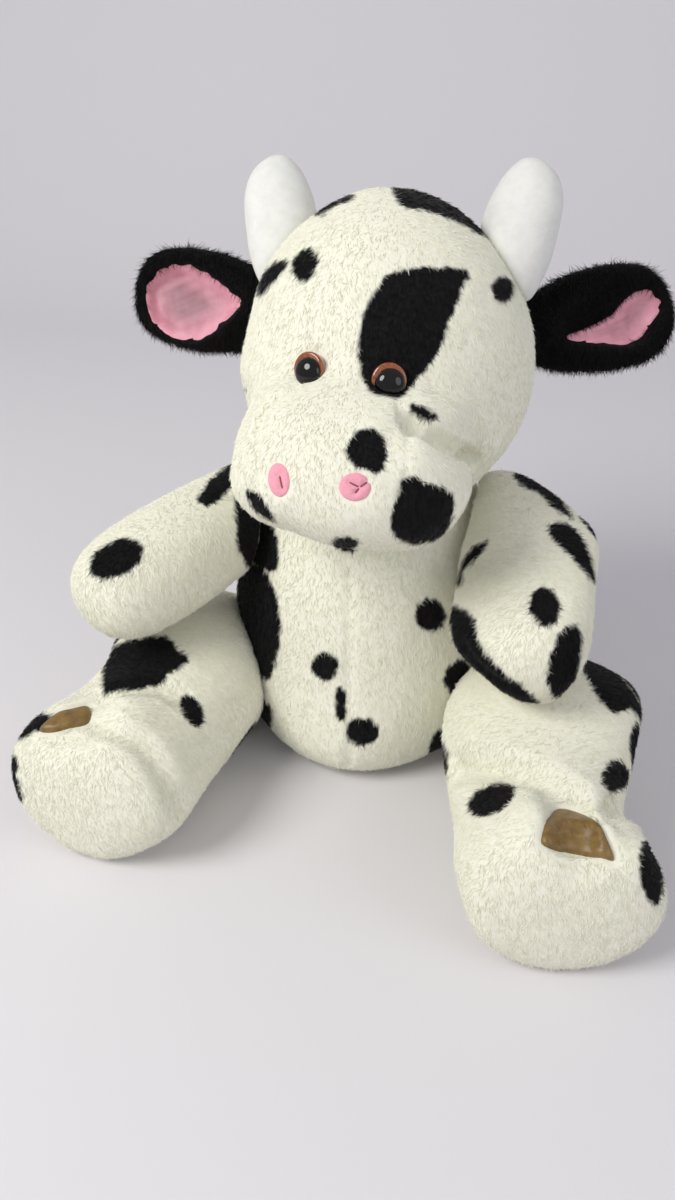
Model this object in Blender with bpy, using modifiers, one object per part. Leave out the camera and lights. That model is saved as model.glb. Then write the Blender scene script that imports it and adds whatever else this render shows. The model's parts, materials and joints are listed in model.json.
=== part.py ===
"""A seated plush cow, built the way it is sewn: fabric covers with openings, stuffing inside them,
velour horns, lined ears, safety eyes with their lock washers, felt nostrils and a satin strip in each foot.

Lengths are in metres and angles in degrees. The cow faces -Y and sits on z = 0.
Left and right are the cow's own, so its left side is +X.
"""

import math

import bmesh
import bpy
from mathutils import Matrix, Vector
from mathutils.bvhtree import BVHTree

# What every sewn or fitted joint keeps
GAP = 0.0003
STUFFING_GAP = 0.0006
FLAT_DEPTH = 0.0005
OVERRUN = 0.004
WELD = 0.00001

# Torso
TORSO_WIDTH = 0.164
TORSO_DEPTH = 0.156
TORSO_HEIGHT = 0.188
TORSO_WALL = 0.005
CHEST_CENTRE_HEIGHT = 0.118
BELLY_CENTRE_HEIGHT = 0.050

# Closing slit in the torso's back, and its ladder stitches
SLIT_LENGTH = 0.046
SLIT_WIDTH = 0.0016
SLIT_MIDDLE_HEIGHT = 0.108
THREAD_RADIUS = 0.0005
STITCH_LENGTH = 0.0072
STITCH_COUNT = 6

# Head: the skull is placed by its centre, and tilted back and turned as it sits
SKULL_WIDTH = 0.156
SKULL_DEPTH = 0.152
SKULL_HEIGHT = 0.165
SKULL_CENTRE_HEIGHT = 0.077
HEAD_WALL = 0.005
HEAD_AT_X = 0.0071
HEAD_AT_Y = -0.0127
HEAD_AT_Z = 0.2311
HEAD_TURN = -5.3
HEAD_TILT_BACK = 24.5
HEAD_LEAN = -1.0

# Muzzle, measured in the head's frame from the skull's centre
MUZZLE_WIDTH = 0.118
MUZZLE_HEIGHT = 0.070
MUZZLE_LENGTH = 0.098
MUZZLE_REACH = 0.112
MUZZLE_DROP = 0.0555
MUZZLE_SHIFT = 0.0011

# Neck
NECK_PLUG_RADIUS = 0.029
NECK_PLUG_DEPTH = 0.014
NECK_BOSS_RADIUS = 0.006
NECK_HOLE_RADIUS = 0.0205
NECK_SPREAD = 55.0

# Horns
HORN_DIAMETER = 0.034
HORN_DEPTH = 0.044
HORN_LENGTH = 0.080
HORN_WALL = 0.002
HORN_STUFFING_GAP = 0.00045
HORN_ROOT_X = 0.053
HORN_ROOT_BACK = 0.0023
HORN_ROOT_Z = 0.038
RIGHT_HORN_LEAN_OUT = 31.0
LEFT_HORN_LEAN_OUT = 27.0
HORN_ROOT_SHARE = 0.8

# Ears
EAR_LENGTH = 0.086
EAR_HEIGHT = 0.056
EAR_THICKNESS = 0.017
EAR_WALL = 0.004
EAR_LINING = 0.002
EAR_CUP_DEPTH = 0.006
EAR_CUP_MORE = 0.0012
EAR_CUP_SHIFT = 0.0002
EAR_CUP_END = 0.006
EAR_ROLL_TWIST = 7.0
EAR_ROLL_RADIUS = 0.0065
EAR_ROLL_LENGTH = 0.034
EAR_SINK = 0.003
EAR_CLEARANCE = 0.0022
RIGHT_EAR_HEIGHT_ON_HEAD = 0.0265
LEFT_EAR_HEIGHT_ON_HEAD = 0.024
EAR_BACK_ON_HEAD = 0.019
RIGHT_EAR_RISE = 4.0
LEFT_EAR_RISE = 15.0
RIGHT_EAR_SWEEP_BACK = 8.0
LEFT_EAR_SWEEP_BACK = 36.0

# Eyes
EYE_DIAMETER = 0.016
EYE_RIM = 0.0018
PUPIL_DIAMETER = 0.0134
PUPIL_HEIGHT = 0.0052
EYE_SPREAD = 0.0197
RIGHT_EYE_DROP = 0.0095
LEFT_EYE_DROP = 0.0120
EYE_STEM_DIAMETER = 0.003
EYE_STEM_LENGTH = 0.011
WASHER_DIAMETER = 0.013
WASHER_THICKNESS = 0.0012
WASHER_GAP = 0.0018

# Nostrils
NOSTRIL_WIDTH = 0.0165
NOSTRIL_HEIGHT = 0.0185
NOSTRIL_SPREAD = 0.0178
NOSTRIL_DROP = 0.0615
FELT_THICKNESS = 0.0014
NOSTRIL_THREAD = 0.0011
NOSTRIL_STITCH_LENGTH = 0.0052

# Arms
ARM_LENGTH = 0.152
ARM_WIDTH = 0.064
ARM_THICKNESS = 0.060
ARM_WALL = 0.004
RIGHT_ARM_ROOT = (-0.052, 0.006, 0.149)
RIGHT_ARM_TIP = (-0.137, -0.108, 0.119)
LEFT_ARM_ROOT = (0.070, 0.010, 0.149)
LEFT_ARM_TIP = (0.111, -0.122, 0.114)
ARM_SPREAD = 30.0

# Legs
LEG_LENGTH = 0.200
LEG_WIDTH = 0.101
LEG_HEIGHT = 0.090
LEG_WALL = 0.0045
RIGHT_SOLE_AT = (-0.125, -0.175)
LEFT_SOLE_AT = (0.126, -0.200)
RIGHT_LEG_SPLAY = 11.0
LEFT_LEG_SPLAY = 9.0
SOLE_DEPTH = 0.010
HOOF_STRIP_WIDTH = 0.022
HOOF_STRIP_LENGTH = 0.030
HOOF_STRIP_HEIGHT = 0.030
CLEFT_WIDTH = 0.026
CLEFT_DEPTH = 0.003
CLEFT_LENGTH = 0.074
CLEFT_SLOPE = 36.0
HIP_LOOK_DOWN = 45.0
HIP_SPREAD = 57.0

# Tail
TAIL_LENGTH = 0.046
TAIL_DIAMETER = 0.014
TAIL_WALL = 0.003
TAIL_ROOT_HEIGHT = 0.052
TAIL_SINK = 0.003
TAIL_ROOT_SHIFT = 0.0013
TAIL_DROOP = 32.0
TAIL_CLEARANCE = 0.0016
TAIL_TWIST = 11.0
TUFT_TWIST = 13.0
TUFT_LENGTH = 0.030
TUFT_DIAMETER = 0.020
TUFT_OVERLAP = 0.010

# Rings of the soft forms, from one end to the other: place along the form, width, depth and shift,
# as shares of the form's length, width, depth and depth
TORSO_SHARES = (
    (0.010, 0.76, 0.78, 0.0),
    (0.065, 0.91, 0.92, 0.0),
    (0.180, 0.98, 0.99, 0.0),
    (0.380, 1.00, 1.00, 0.0),
    (0.560, 0.96, 0.95, 0.0),
    (0.700, 0.86, 0.84, 0.01),
    (0.820, 0.73, 0.71, 0.02),
    (0.930, 0.50, 0.50, 0.02),
)
SKULL_SHARES = (
    (0.040, 0.38, 0.39, 0.0),
    (0.150, 0.73, 0.74, 0.0),
    (0.310, 0.95, 0.96, 0.0),
    (0.470, 1.00, 1.00, 0.0),
    (0.620, 0.95, 0.96, 0.0),
    (0.760, 0.80, 0.86, 0.0),
    (0.880, 0.58, 0.66, 0.0),
    (0.965, 0.32, 0.38, 0.0),
)
MUZZLE_SHARES = (
    (0.06, 0.66, 0.62, 0.02),
    (0.28, 0.94, 0.92, 0.02),
    (0.48, 1.00, 1.00, 0.0),
    (0.68, 0.92, 0.94, -0.02),
    (0.85, 0.72, 0.78, -0.05),
    (0.96, 0.44, 0.50, -0.07),
)
HORN_SHARES = (
    (0.03, 0.80, 0.80, 0.0),
    (0.25, 0.97, 0.94, 0.0),
    (0.50, 1.00, 1.00, -0.05),
    (0.75, 0.86, 0.84, -0.17),
    (0.93, 0.62, 0.60, -0.28),
)
EAR_SHARES = (
    (0.03, 0.66, 0.44, 0.0),
    (0.22, 0.84, 0.68, 0.0),
    (0.45, 1.00, 0.94, 0.0),
    (0.68, 1.00, 1.00, 0.0),
    (0.87, 0.84, 0.80, 0.0),
    (0.97, 0.48, 0.46, 0.0),
)
EAR_LINING_SHARES = (
    (0.03, 0.16, 0.40, 0.0),
    (0.22, 0.46, 0.68, 0.0),
    (0.45, 0.80, 0.94, 0.0),
    (0.68, 1.00, 1.00, 0.0),
    (0.87, 0.90, 0.80, 0.0),
    (0.97, 0.52, 0.46, 0.0),
)
ARM_SHARES = (
    (0.03, 0.66, 0.66, 0.0),
    (0.20, 0.84, 0.86, 0.0),
    (0.42, 0.92, 0.94, 0.0),
    (0.64, 1.00, 1.00, 0.0),
    (0.83, 0.98, 0.96, 0.0),
    (0.95, 0.72, 0.70, 0.0),
)
LEG_SHARES = (
    (0.03, 0.62, 0.66, 0.0),
    (0.18, 0.90, 0.94, 0.0),
    (0.38, 0.99, 1.03, 0.0),
    (0.56, 0.95, 0.98, 0.0),
    (0.70, 0.89, 0.88, 0.0),
    (0.82, 0.98, 0.95, 0.0),
    (0.92, 0.98, 0.96, 0.0),
    (0.98, 0.80, 0.80, 0.0),
)
TAIL_SHARES = (
    (0.04, 0.50, 0.50, 0.0),
    (0.11, 0.54, 0.54, 0.0),
    (0.30, 0.94, 0.94, 0.0),
    (0.70, 1.00, 1.00, 0.0),
    (0.95, 0.84, 0.84, 0.0),
)
TUFT_SHARES = (
    (0.08, 0.60, 0.60, 0.0),
    (0.35, 0.95, 0.95, 0.0),
    (0.65, 1.00, 1.00, 0.0),
    (0.90, 0.55, 0.55, 0.0),
)

# Bars of each nostril's stitches, as shares of the stitch's length: middle across, middle up, angle, length
RIGHT_NOSTRIL_SHARES = ((0.0, -0.1, 84.0, 2.0),)
LEFT_NOSTRIL_SHARES = ((-0.38, 0.30, 145.0, 1.1), (0.38, 0.30, 35.0, 1.1), (0.0, -0.45, 90.0, 1.1))

# The floor cutter's width and depth, as shares of the torso's, and how far a cutter passes through a wall
FLOOR_SHARES = (4.0, 6.0)
THROUGH_SHARE = 4.0

OUTER_SEGMENTS = 16
LIMB_SEGMENTS = 12
STITCH_SEGMENTS = 12
SMALL_SEGMENTS = 8
BALL_SEGMENTS = 28
SMALL_BALL_SEGMENTS = 16
ROUND_SEGMENTS = 16
PROFILE_STEPS = 5

FUR_WHITE = (0.86, 0.83, 0.76)
FUR_BLACK = (0.02, 0.019, 0.018)
FIBRE_WHITE = (0.90, 0.90, 0.88)
VELOUR_WHITE = (0.88, 0.87, 0.85)
PINK = (0.93, 0.45, 0.55)
FELT_PINK = (0.95, 0.42, 0.50)
SATIN_TAN = (0.45, 0.30, 0.12)
AMBER = (0.25, 0.07, 0.025)
PUPIL_BLACK = (0.005, 0.004, 0.004)
NYLON = (0.80, 0.80, 0.78)
THREAD_WHITE = (0.88, 0.86, 0.80)
THREAD_BROWN = (0.20, 0.09, 0.09)

for old in list(bpy.data.objects):
    bpy.data.objects.remove(old, do_unlink=True)

PARTS = bpy.data.collections.new("plush_cow")
CUTTERS = bpy.data.collections.new("cutters")
bpy.context.scene.collection.children.link(PARTS)
bpy.context.scene.collection.children.link(CUTTERS)


# Places and directions


def rotation(degrees, axis):
    return Matrix.Rotation(math.radians(degrees), 4, axis)


def along(start, end, up):
    """The frame whose +Z runs from start to end and whose +Y leans towards up."""
    z = (Vector(end) - Vector(start)).normalized()
    x = Vector(up).cross(z).normalized()
    y = z.cross(x)
    frame = Matrix((x, y, z)).transposed().to_4x4()
    return Matrix.Translation(Vector(start)) @ frame


HEAD = (
    Matrix.Translation((HEAD_AT_X, HEAD_AT_Y, HEAD_AT_Z))
    @ rotation(HEAD_TURN, "Z")
    @ rotation(HEAD_LEAN, "Y")
    @ rotation(-HEAD_TILT_BACK, "X")
)


# Objects, materials and modifiers


def cloth(name, colour, roughness, metallic=0.0):
    made = bpy.data.materials.new(name)
    made.use_nodes = True
    shader = made.node_tree.nodes["Principled BSDF"]
    shader.inputs["Base Color"].default_value = (*colour, 1.0)
    shader.inputs["Roughness"].default_value = roughness
    shader.inputs["Metallic"].default_value = metallic
    return made


def add(name, mesh, place, material=None):
    """A part where a material is given, and otherwise a cutter."""
    made = bpy.data.objects.new(name, mesh)
    made.matrix_world = place
    if material is None:
        CUTTERS.objects.link(made)
        made.hide_render = True
        made.display_type = "WIRE"
    else:
        PARTS.objects.link(made)
        mesh.materials.append(material)
    mesh.shade_smooth()
    return made


def combine(target, operation, other):
    cut = target.modifiers.new(f"{operation.lower()}_{other.name}", "BOOLEAN")
    cut.operation = operation
    cut.object = other
    cut.solver = "EXACT"


def cut(target, *cutters):
    for cutter in cutters:
        combine(target, "DIFFERENCE", cutter)


def evaluated_points(made):
    """The object's points in its own frame, after its modifiers."""
    bpy.context.view_layer.update()
    shown = made.evaluated_get(bpy.context.evaluated_depsgraph_get())
    return [point.co.copy() for point in shown.data.vertices]


def hit(made, start, towards):
    """Where a line through start first meets the outside of the object, coming from outside."""
    bpy.context.view_layer.update()
    shown = made.evaluated_get(bpy.context.evaluated_depsgraph_get())
    tree = BVHTree.FromPolygons(
        [made.matrix_world @ point.co for point in shown.data.vertices],
        [tuple(face.vertices) for face in shown.data.polygons],
    )
    direction = Vector(towards).normalized()
    far = (TORSO_HEIGHT + HEAD_AT_Z) * direction
    place, normal, _, _ = tree.ray_cast(Vector(start) + far, -direction)
    return place, normal


# Shapes


def soft_form(name, size, shares, place, segments, material=None):
    """A swelling form from a coarse cage: rings along +Z, then one level of subdivision, and exactly
    the named size. It starts at z = 0 and is centred on x = y = 0."""
    width, depth, length = size
    mesh = bpy.data.meshes.new(name)
    cage = bmesh.new()
    rings = len(shares)
    bmesh.ops.create_uvsphere(cage, u_segments=segments, v_segments=rings + 1, radius=1.0)
    for point in cage.verts:
        level = round(math.acos(max(-1.0, min(1.0, -point.co.z))) / math.pi * (rings + 1))
        if level in (0, rings + 1):
            shift = shares[0][3] if level == 0 else shares[-1][3]
            point.co = Vector((0.0, shift * 2.0, 0.0 if level == 0 else 1.0))
            continue
        at, wide, deep, shift = shares[level - 1]
        flat = Vector((point.co.x, point.co.y)).normalized()
        point.co = Vector((flat.x * wide, flat.y * deep + shift * 2.0, at))
    cage.to_mesh(mesh)
    cage.free()
    made = add(name, mesh, place, material)
    smooth = made.modifiers.new("subdivision", "SUBSURF")
    smooth.levels = 1
    smooth.render_levels = 1
    points = evaluated_points(made)
    low = Vector(min(point[axis] for point in points) for axis in range(3))
    high = Vector(max(point[axis] for point in points) for axis in range(3))
    middle = (low + high) / 2.0
    scale = Vector((width / (high.x - low.x), depth / (high.y - low.y), length / (high.z - low.z)))
    for point in mesh.vertices:
        point.co = Vector(
            (
                (point.co.x - middle.x) * scale.x,
                (point.co.y - middle.y) * scale.y,
                (point.co.z - low.z) * scale.z,
            )
        )
    return made


def inner_form(name, size, shares, place, inset, material=None):
    """The same form taken in by inset on every side, with fewer segments."""
    less = tuple(side - 2.0 * inset for side in size)
    raised = place @ Matrix.Translation((0.0, 0.0, inset))
    return soft_form(name, less, shares, raised, SMALL_SEGMENTS, material)


def ball(name, radius, centre, segments=BALL_SEGMENTS, outside=True):
    """A cutting ball. One that clears a ball of the radius has its flats outside that radius."""
    mesh = bpy.data.meshes.new(name)
    made = bmesh.new()
    half = segments // 2
    flats = math.cos(math.pi / segments) * math.cos(math.pi / (2 * half))
    bmesh.ops.create_uvsphere(
        made, u_segments=segments, v_segments=half, radius=radius / flats if outside else radius
    )
    made.to_mesh(mesh)
    made.free()
    return add(name, mesh, Matrix.Translation(centre))


def box(name, size, place):
    """A cutting box centred on its place."""
    mesh = bpy.data.meshes.new(name)
    made = bmesh.new()
    bmesh.ops.create_cube(made, size=1.0, matrix=Matrix.Diagonal((*size, 1.0)))
    made.to_mesh(mesh)
    made.free()
    return add(name, mesh, place)


def rod(name, width, height, length, place, material=None, segments=ROUND_SEGMENTS):
    """A round or oval rod along +Z, centred on its place."""
    mesh = bpy.data.meshes.new(name)
    made = bmesh.new()
    bmesh.ops.create_cone(
        made,
        cap_ends=True,
        segments=segments,
        radius1=0.5,
        radius2=0.5,
        depth=1.0,
        matrix=Matrix.Diagonal((width, height, length, 1.0)),
    )
    made.to_mesh(mesh)
    made.free()
    return add(name, mesh, place, material)


def turned(name, profile, place, material=None, segments=ROUND_SEGMENTS):
    """A turned solid about +Z from a profile of (radius, height) points, top to bottom."""
    mesh = bpy.data.meshes.new(name)
    mesh.from_pydata(
        [(radius, 0.0, height) for radius, height in profile],
        [(step, step + 1) for step in range(len(profile) - 1)],
        [],
    )
    made = add(name, mesh, place, material)
    screw = made.modifiers.new("screw", "SCREW")
    screw.axis = "Z"
    screw.steps = segments
    screw.render_steps = segments
    screw.use_merge_vertices = True
    screw.merge_threshold = WELD
    return made


def reach(form, centre, direction, spread):
    """The furthest that the form's points lie from a centre, within an angle of a direction."""
    least = math.cos(math.radians(spread))
    aim = Vector(direction).normalized()
    found = 0.0
    for point in evaluated_points(form):
        arm = form.matrix_world @ point - Vector(centre)
        if arm.normalized().dot(aim) >= least:
            found = max(found, arm.length)
    return found


# Torso


TORSO_SIZE = (TORSO_WIDTH, TORSO_DEPTH, TORSO_HEIGHT)
TORSO_PLACE = Matrix.Translation((0.0, 0.0, -FLAT_DEPTH))
CHEST_CENTRE = Vector((0.0, 0.0, CHEST_CENTRE_HEIGHT))
BELLY_CENTRE = Vector((0.0, 0.0, BELLY_CENTRE_HEIGHT))
SKULL_CENTRE = HEAD.translation

fur = cloth("white_fur", FUR_WHITE, 0.95)
black_fur = cloth("black_fur", FUR_BLACK, 0.9)
fibre = cloth("polyester_fibre", FIBRE_WHITE, 1.0)
velour = cloth("white_velour", VELOUR_WHITE, 0.85)
ear_cloth = cloth("pink_cloth", PINK, 0.6)
felt = cloth("pink_felt", FELT_PINK, 0.95)
satin = cloth("tan_satin", SATIN_TAN, 0.4)
amber = cloth("amber_plastic", AMBER, 0.15)
pupil_black = cloth("black_plastic", PUPIL_BLACK, 0.06)
nylon = cloth("nylon", NYLON, 0.4)
white_thread = cloth("white_thread", THREAD_WHITE, 0.7)
brown_thread = cloth("brown_thread", THREAD_BROWN, 0.7)


def grown(size, by):
    return tuple(side + 2.0 * by for side in size)


def grown_torso(name, by):
    place = TORSO_PLACE @ Matrix.Translation((0.0, 0.0, -by))
    return soft_form(name, grown(TORSO_SIZE, by), TORSO_SHARES, place, OUTER_SEGMENTS)


torso_form = grown_torso("torso_form", 0.0)
torso_room = grown_torso("torso_room", GAP)

floor = box(
    "floor",
    (TORSO_WIDTH * FLOOR_SHARES[0], TORSO_DEPTH * FLOOR_SHARES[1], OVERRUN),
    Matrix.Translation((0.0, 0.0, -OVERRUN / 2.0)),
)

body_skin = soft_form("body_skin", TORSO_SIZE, TORSO_SHARES, TORSO_PLACE, OUTER_SEGMENTS, fur)
body_cavity = inner_form("body_cavity", TORSO_SIZE, TORSO_SHARES, TORSO_PLACE, TORSO_WALL)
body_stuffing = inner_form(
    "body_stuffing", TORSO_SIZE, TORSO_SHARES, TORSO_PLACE, TORSO_WALL + STUFFING_GAP, fibre
)

slit_point, _ = hit(torso_form, (0.0, 0.0, SLIT_MIDDLE_HEIGHT), (0.0, 1.0, 0.0))
slit = box(
    "closing_slit",
    (SLIT_WIDTH, TORSO_WALL * THROUGH_SHARE, SLIT_LENGTH),
    Matrix.Translation(slit_point),
)
cut(body_skin, body_cavity, floor, slit)


def thread_path():
    """The ladder stitch: along one edge inside the cover, across the slit, along the other, and so on."""
    points = []
    pitch = SLIT_LENGTH / STITCH_COUNT
    for number in range(STITCH_COUNT + 1):
        height = SLIT_MIDDLE_HEIGHT + (number - STITCH_COUNT / 2.0) * (pitch - THREAD_RADIUS)
        point, _ = hit(torso_form, (0.0, 0.0, height), (0.0, 1.0, 0.0))
        back = point.y - TORSO_WALL / 2.0
        edge = STITCH_LENGTH / 2.0 * (-1.0 if number % 2 else 1.0)
        points += [Vector((-edge, back, height)), Vector((edge, back, height))]
    return points[1:-1]


def tube(name, points, radius, material=None):
    """A tube along a line of points, with its caps welded."""
    curve = bpy.data.curves.new(name, "CURVE")
    curve.dimensions = "3D"
    curve.bevel_depth = radius
    curve.bevel_resolution = 1
    curve.use_fill_caps = True
    line = curve.splines.new("POLY")
    line.points.add(len(points) - 1)
    for point, place in zip(line.points, points):
        point.co = (*place, 1.0)
    drawn = bpy.data.objects.new(name, curve)
    CUTTERS.objects.link(drawn)
    bpy.context.view_layer.update()
    mesh = bpy.data.meshes.new_from_object(drawn.evaluated_get(bpy.context.evaluated_depsgraph_get()))
    bpy.data.objects.remove(drawn, do_unlink=True)
    bpy.data.curves.remove(curve)
    joined = bmesh.new()
    joined.from_mesh(mesh)
    bmesh.ops.remove_doubles(joined, verts=joined.verts, dist=WELD)
    bmesh.ops.recalc_face_normals(joined, faces=joined.faces)
    joined.to_mesh(mesh)
    joined.free()
    return add(name, mesh, Matrix.Identity(4), material)


def lengthened(points, by):
    """The same line with both ends moved outward."""
    first = points[0] + (points[0] - points[1]).normalized() * by
    last = points[-1] + (points[-1] - points[-2]).normalized() * by
    return [first, *points[1:-1], last]


closing_thread = tube("closing_thread", thread_path(), THREAD_RADIUS, white_thread)
thread_channel = tube("thread_channel", lengthened(thread_path(), GAP), THREAD_RADIUS + GAP)
cut(body_skin, thread_channel)


# Head


SKULL_SIZE = (SKULL_WIDTH, SKULL_DEPTH, SKULL_HEIGHT)
SKULL_PLACE = HEAD @ Matrix.Translation((0.0, 0.0, -SKULL_CENTRE_HEIGHT))
MUZZLE_SIZE = (MUZZLE_WIDTH, MUZZLE_HEIGHT, MUZZLE_LENGTH)
MUZZLE_PLACE = (
    HEAD
    @ Matrix.Translation((MUZZLE_SHIFT, MUZZLE_LENGTH - MUZZLE_REACH, -MUZZLE_DROP))
    @ rotation(90.0, "X")
)


def grown_skull(name, by):
    place = SKULL_PLACE @ Matrix.Translation((0.0, 0.0, -by))
    return soft_form(name, grown(SKULL_SIZE, by), SKULL_SHARES, place, OUTER_SEGMENTS)


def grown_muzzle(name, by):
    place = MUZZLE_PLACE @ Matrix.Translation((0.0, 0.0, -by))
    return soft_form(name, grown(MUZZLE_SIZE, by), MUZZLE_SHARES, place, LIMB_SEGMENTS)


head_skin = soft_form("head_skin", SKULL_SIZE, SKULL_SHARES, SKULL_PLACE, OUTER_SEGMENTS, fur)
skull_form = grown_skull("skull_form", 0.0)
skull_room = grown_skull("skull_room", GAP * 2.0)
skull_cavity = inner_form("skull_cavity", SKULL_SIZE, SKULL_SHARES, SKULL_PLACE, HEAD_WALL)
muzzle_form = grown_muzzle("muzzle_form", 0.0)
muzzle_cavity = inner_form("muzzle_cavity", MUZZLE_SIZE, MUZZLE_SHARES, MUZZLE_PLACE, HEAD_WALL)

SEAT_REACH = reach(head_skin, SKULL_CENTRE, (0.0, 0.0, -1.0), NECK_SPREAD)
head_seat = ball("head_seat", SEAT_REACH + GAP, SKULL_CENTRE)

neck_hole = rod(
    "neck_hole",
    2.0 * NECK_HOLE_RADIUS,
    2.0 * NECK_HOLE_RADIUS,
    SKULL_WIDTH / 2.0,
    Matrix.Translation(SKULL_CENTRE - Vector((0.0, 0.0, SKULL_WIDTH / 2.0))),
)
cut(head_skin, skull_cavity, muzzle_cavity)

muzzle_skin = soft_form("muzzle_skin", MUZZLE_SIZE, MUZZLE_SHARES, MUZZLE_PLACE, LIMB_SEGMENTS, fur)
cut(muzzle_skin, skull_room, muzzle_cavity)

head_stuffing = inner_form(
    "head_stuffing", SKULL_SIZE, SKULL_SHARES, SKULL_PLACE, HEAD_WALL + STUFFING_GAP, fibre
)
muzzle_stuffing = inner_form(
    "muzzle_stuffing", MUZZLE_SIZE, MUZZLE_SHARES, MUZZLE_PLACE, HEAD_WALL + STUFFING_GAP
)
combine(head_stuffing, "UNION", muzzle_stuffing)

# The neck's opening in the head goes in after the inner hollow, and stops at the stuffing
cut(head_skin, neck_hole)


# Neck


def neck_profile(room):
    """The plug's profile: a dish on the skull's cover, and a boss through the neck's opening."""
    cover = SEAT_REACH + GAP
    inside = SEAT_REACH - HEAD_WALL + STUFFING_GAP
    side = NECK_PLUG_RADIUS + room
    top = -math.sqrt(cover**2 - side**2)
    points = [(0.0, -inside)]
    for radius in (NECK_BOSS_RADIUS / 2.0, NECK_BOSS_RADIUS):
        points.append((radius, -math.sqrt(inside**2 - radius**2)))
    for step in range(PROFILE_STEPS + 1):
        radius = NECK_BOSS_RADIUS + (side - NECK_BOSS_RADIUS) * step / PROFILE_STEPS
        points.append((radius, -math.sqrt(cover**2 - radius**2)))
    points += [(side, top - NECK_PLUG_DEPTH), (0.0, top - NECK_PLUG_DEPTH - room)]
    return points


neck_place = Matrix.Translation(SKULL_CENTRE)
neck_stuffing = turned("neck_stuffing", neck_profile(0.0), neck_place, fibre)
neck_side = 2.0 * (NECK_PLUG_RADIUS + GAP) / math.cos(math.pi / ROUND_SEGMENTS)
neck_floor = math.sqrt((SEAT_REACH + GAP) ** 2 - NECK_PLUG_RADIUS**2) + NECK_PLUG_DEPTH + GAP
neck_room = rod(
    "neck_room",
    neck_side,
    neck_side,
    SKULL_WIDTH / 2.0,
    Matrix.Translation(SKULL_CENTRE - Vector((0.0, 0.0, neck_floor - SKULL_WIDTH / 4.0))),
)
cut(body_skin, head_seat)
cut(body_stuffing, head_seat, neck_room)


# Eyes


def eye(side, name, drop):
    """A brown disc with its stem, the black dome on it, and the washer that locks the stem inside."""
    start = HEAD @ Vector((side * EYE_SPREAD, 0.0, -drop))
    forward = HEAD.to_3x3() @ Vector((0.0, -1.0, 0.0))
    point, normal = hit(skull_form, start, forward)
    place = along(point, point + normal, HEAD.to_3x3() @ Vector((0.0, 0.0, 1.0)))
    radius = EYE_DIAMETER / 2.0
    stem = EYE_STEM_DIAMETER / 2.0
    sink = EYE_RIM / 2.0
    lip = sink + EYE_RIM
    profile = [
        (0.0, lip),
        (radius - EYE_RIM, lip),
        (radius, sink),
        (radius, 0.0),
        (radius - EYE_RIM / 2.0, -sink),
        (stem, -sink),
        (stem, -sink - EYE_STEM_LENGTH),
        (0.0, -sink - EYE_STEM_LENGTH - stem / 2.0),
    ]
    iris = turned(f"eye_{name}", profile, place, amber)
    base = lip + GAP
    dome = [
        (PUPIL_DIAMETER / 2.0 * math.sin(turn), base + PUPIL_HEIGHT * math.cos(turn))
        for turn in (math.pi / 2.0 * step / PROFILE_STEPS for step in range(PROFILE_STEPS + 1))
    ]
    pupil = turned(f"pupil_{name}", [*dome, (0.0, base)], place, pupil_black)
    seat = rod(
        f"eye_seat_{name}",
        EYE_DIAMETER + 2.0 * GAP,
        EYE_DIAMETER + 2.0 * GAP,
        2.0 * (sink + GAP),
        place,
    )
    bore = EYE_STEM_DIAMETER + 4.0 * GAP
    hole = rod(f"eye_hole_{name}", bore, bore, THROUGH_SHARE * HEAD_WALL, place)
    inner_point, _ = hit(skull_cavity, start, forward)
    behind = (point - inner_point).length + WASHER_GAP + WASHER_THICKNESS / 2.0
    washer = rod(
        f"eye_washer_{name}",
        WASHER_DIAMETER,
        WASHER_DIAMETER,
        WASHER_THICKNESS,
        place @ Matrix.Translation((0.0, 0.0, -behind)),
        nylon,
    )
    stem_side = EYE_STEM_DIAMETER + 2.0 * GAP
    stem_room = rod(f"stem_room_{name}", stem_side, stem_side, THROUGH_SHARE * HEAD_WALL, place)
    cut(washer, stem_room)
    pocket_depth = EYE_STEM_LENGTH + HEAD_WALL
    pocket = rod(
        f"washer_room_{name}",
        WASHER_DIAMETER + 4.0 * GAP,
        WASHER_DIAMETER + 4.0 * GAP,
        2.0 * pocket_depth,
        place,
    )
    cut(head_skin, seat, hole)
    cut(head_stuffing, pocket)
    return iris, pupil, washer


for side, name, drop in ((1.0, "left", LEFT_EYE_DROP), (-1.0, "right", RIGHT_EYE_DROP)):
    eye(side, name, drop)


# Nostrils


def layer_on_muzzle(under, over, made):
    """Keeps what of the object lies between two distances from the muzzle's surface."""
    combine(made, "INTERSECT", grown_muzzle(f"{made.name}_over", over))
    combine(made, "DIFFERENCE", grown_muzzle(f"{made.name}_under", under))


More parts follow.
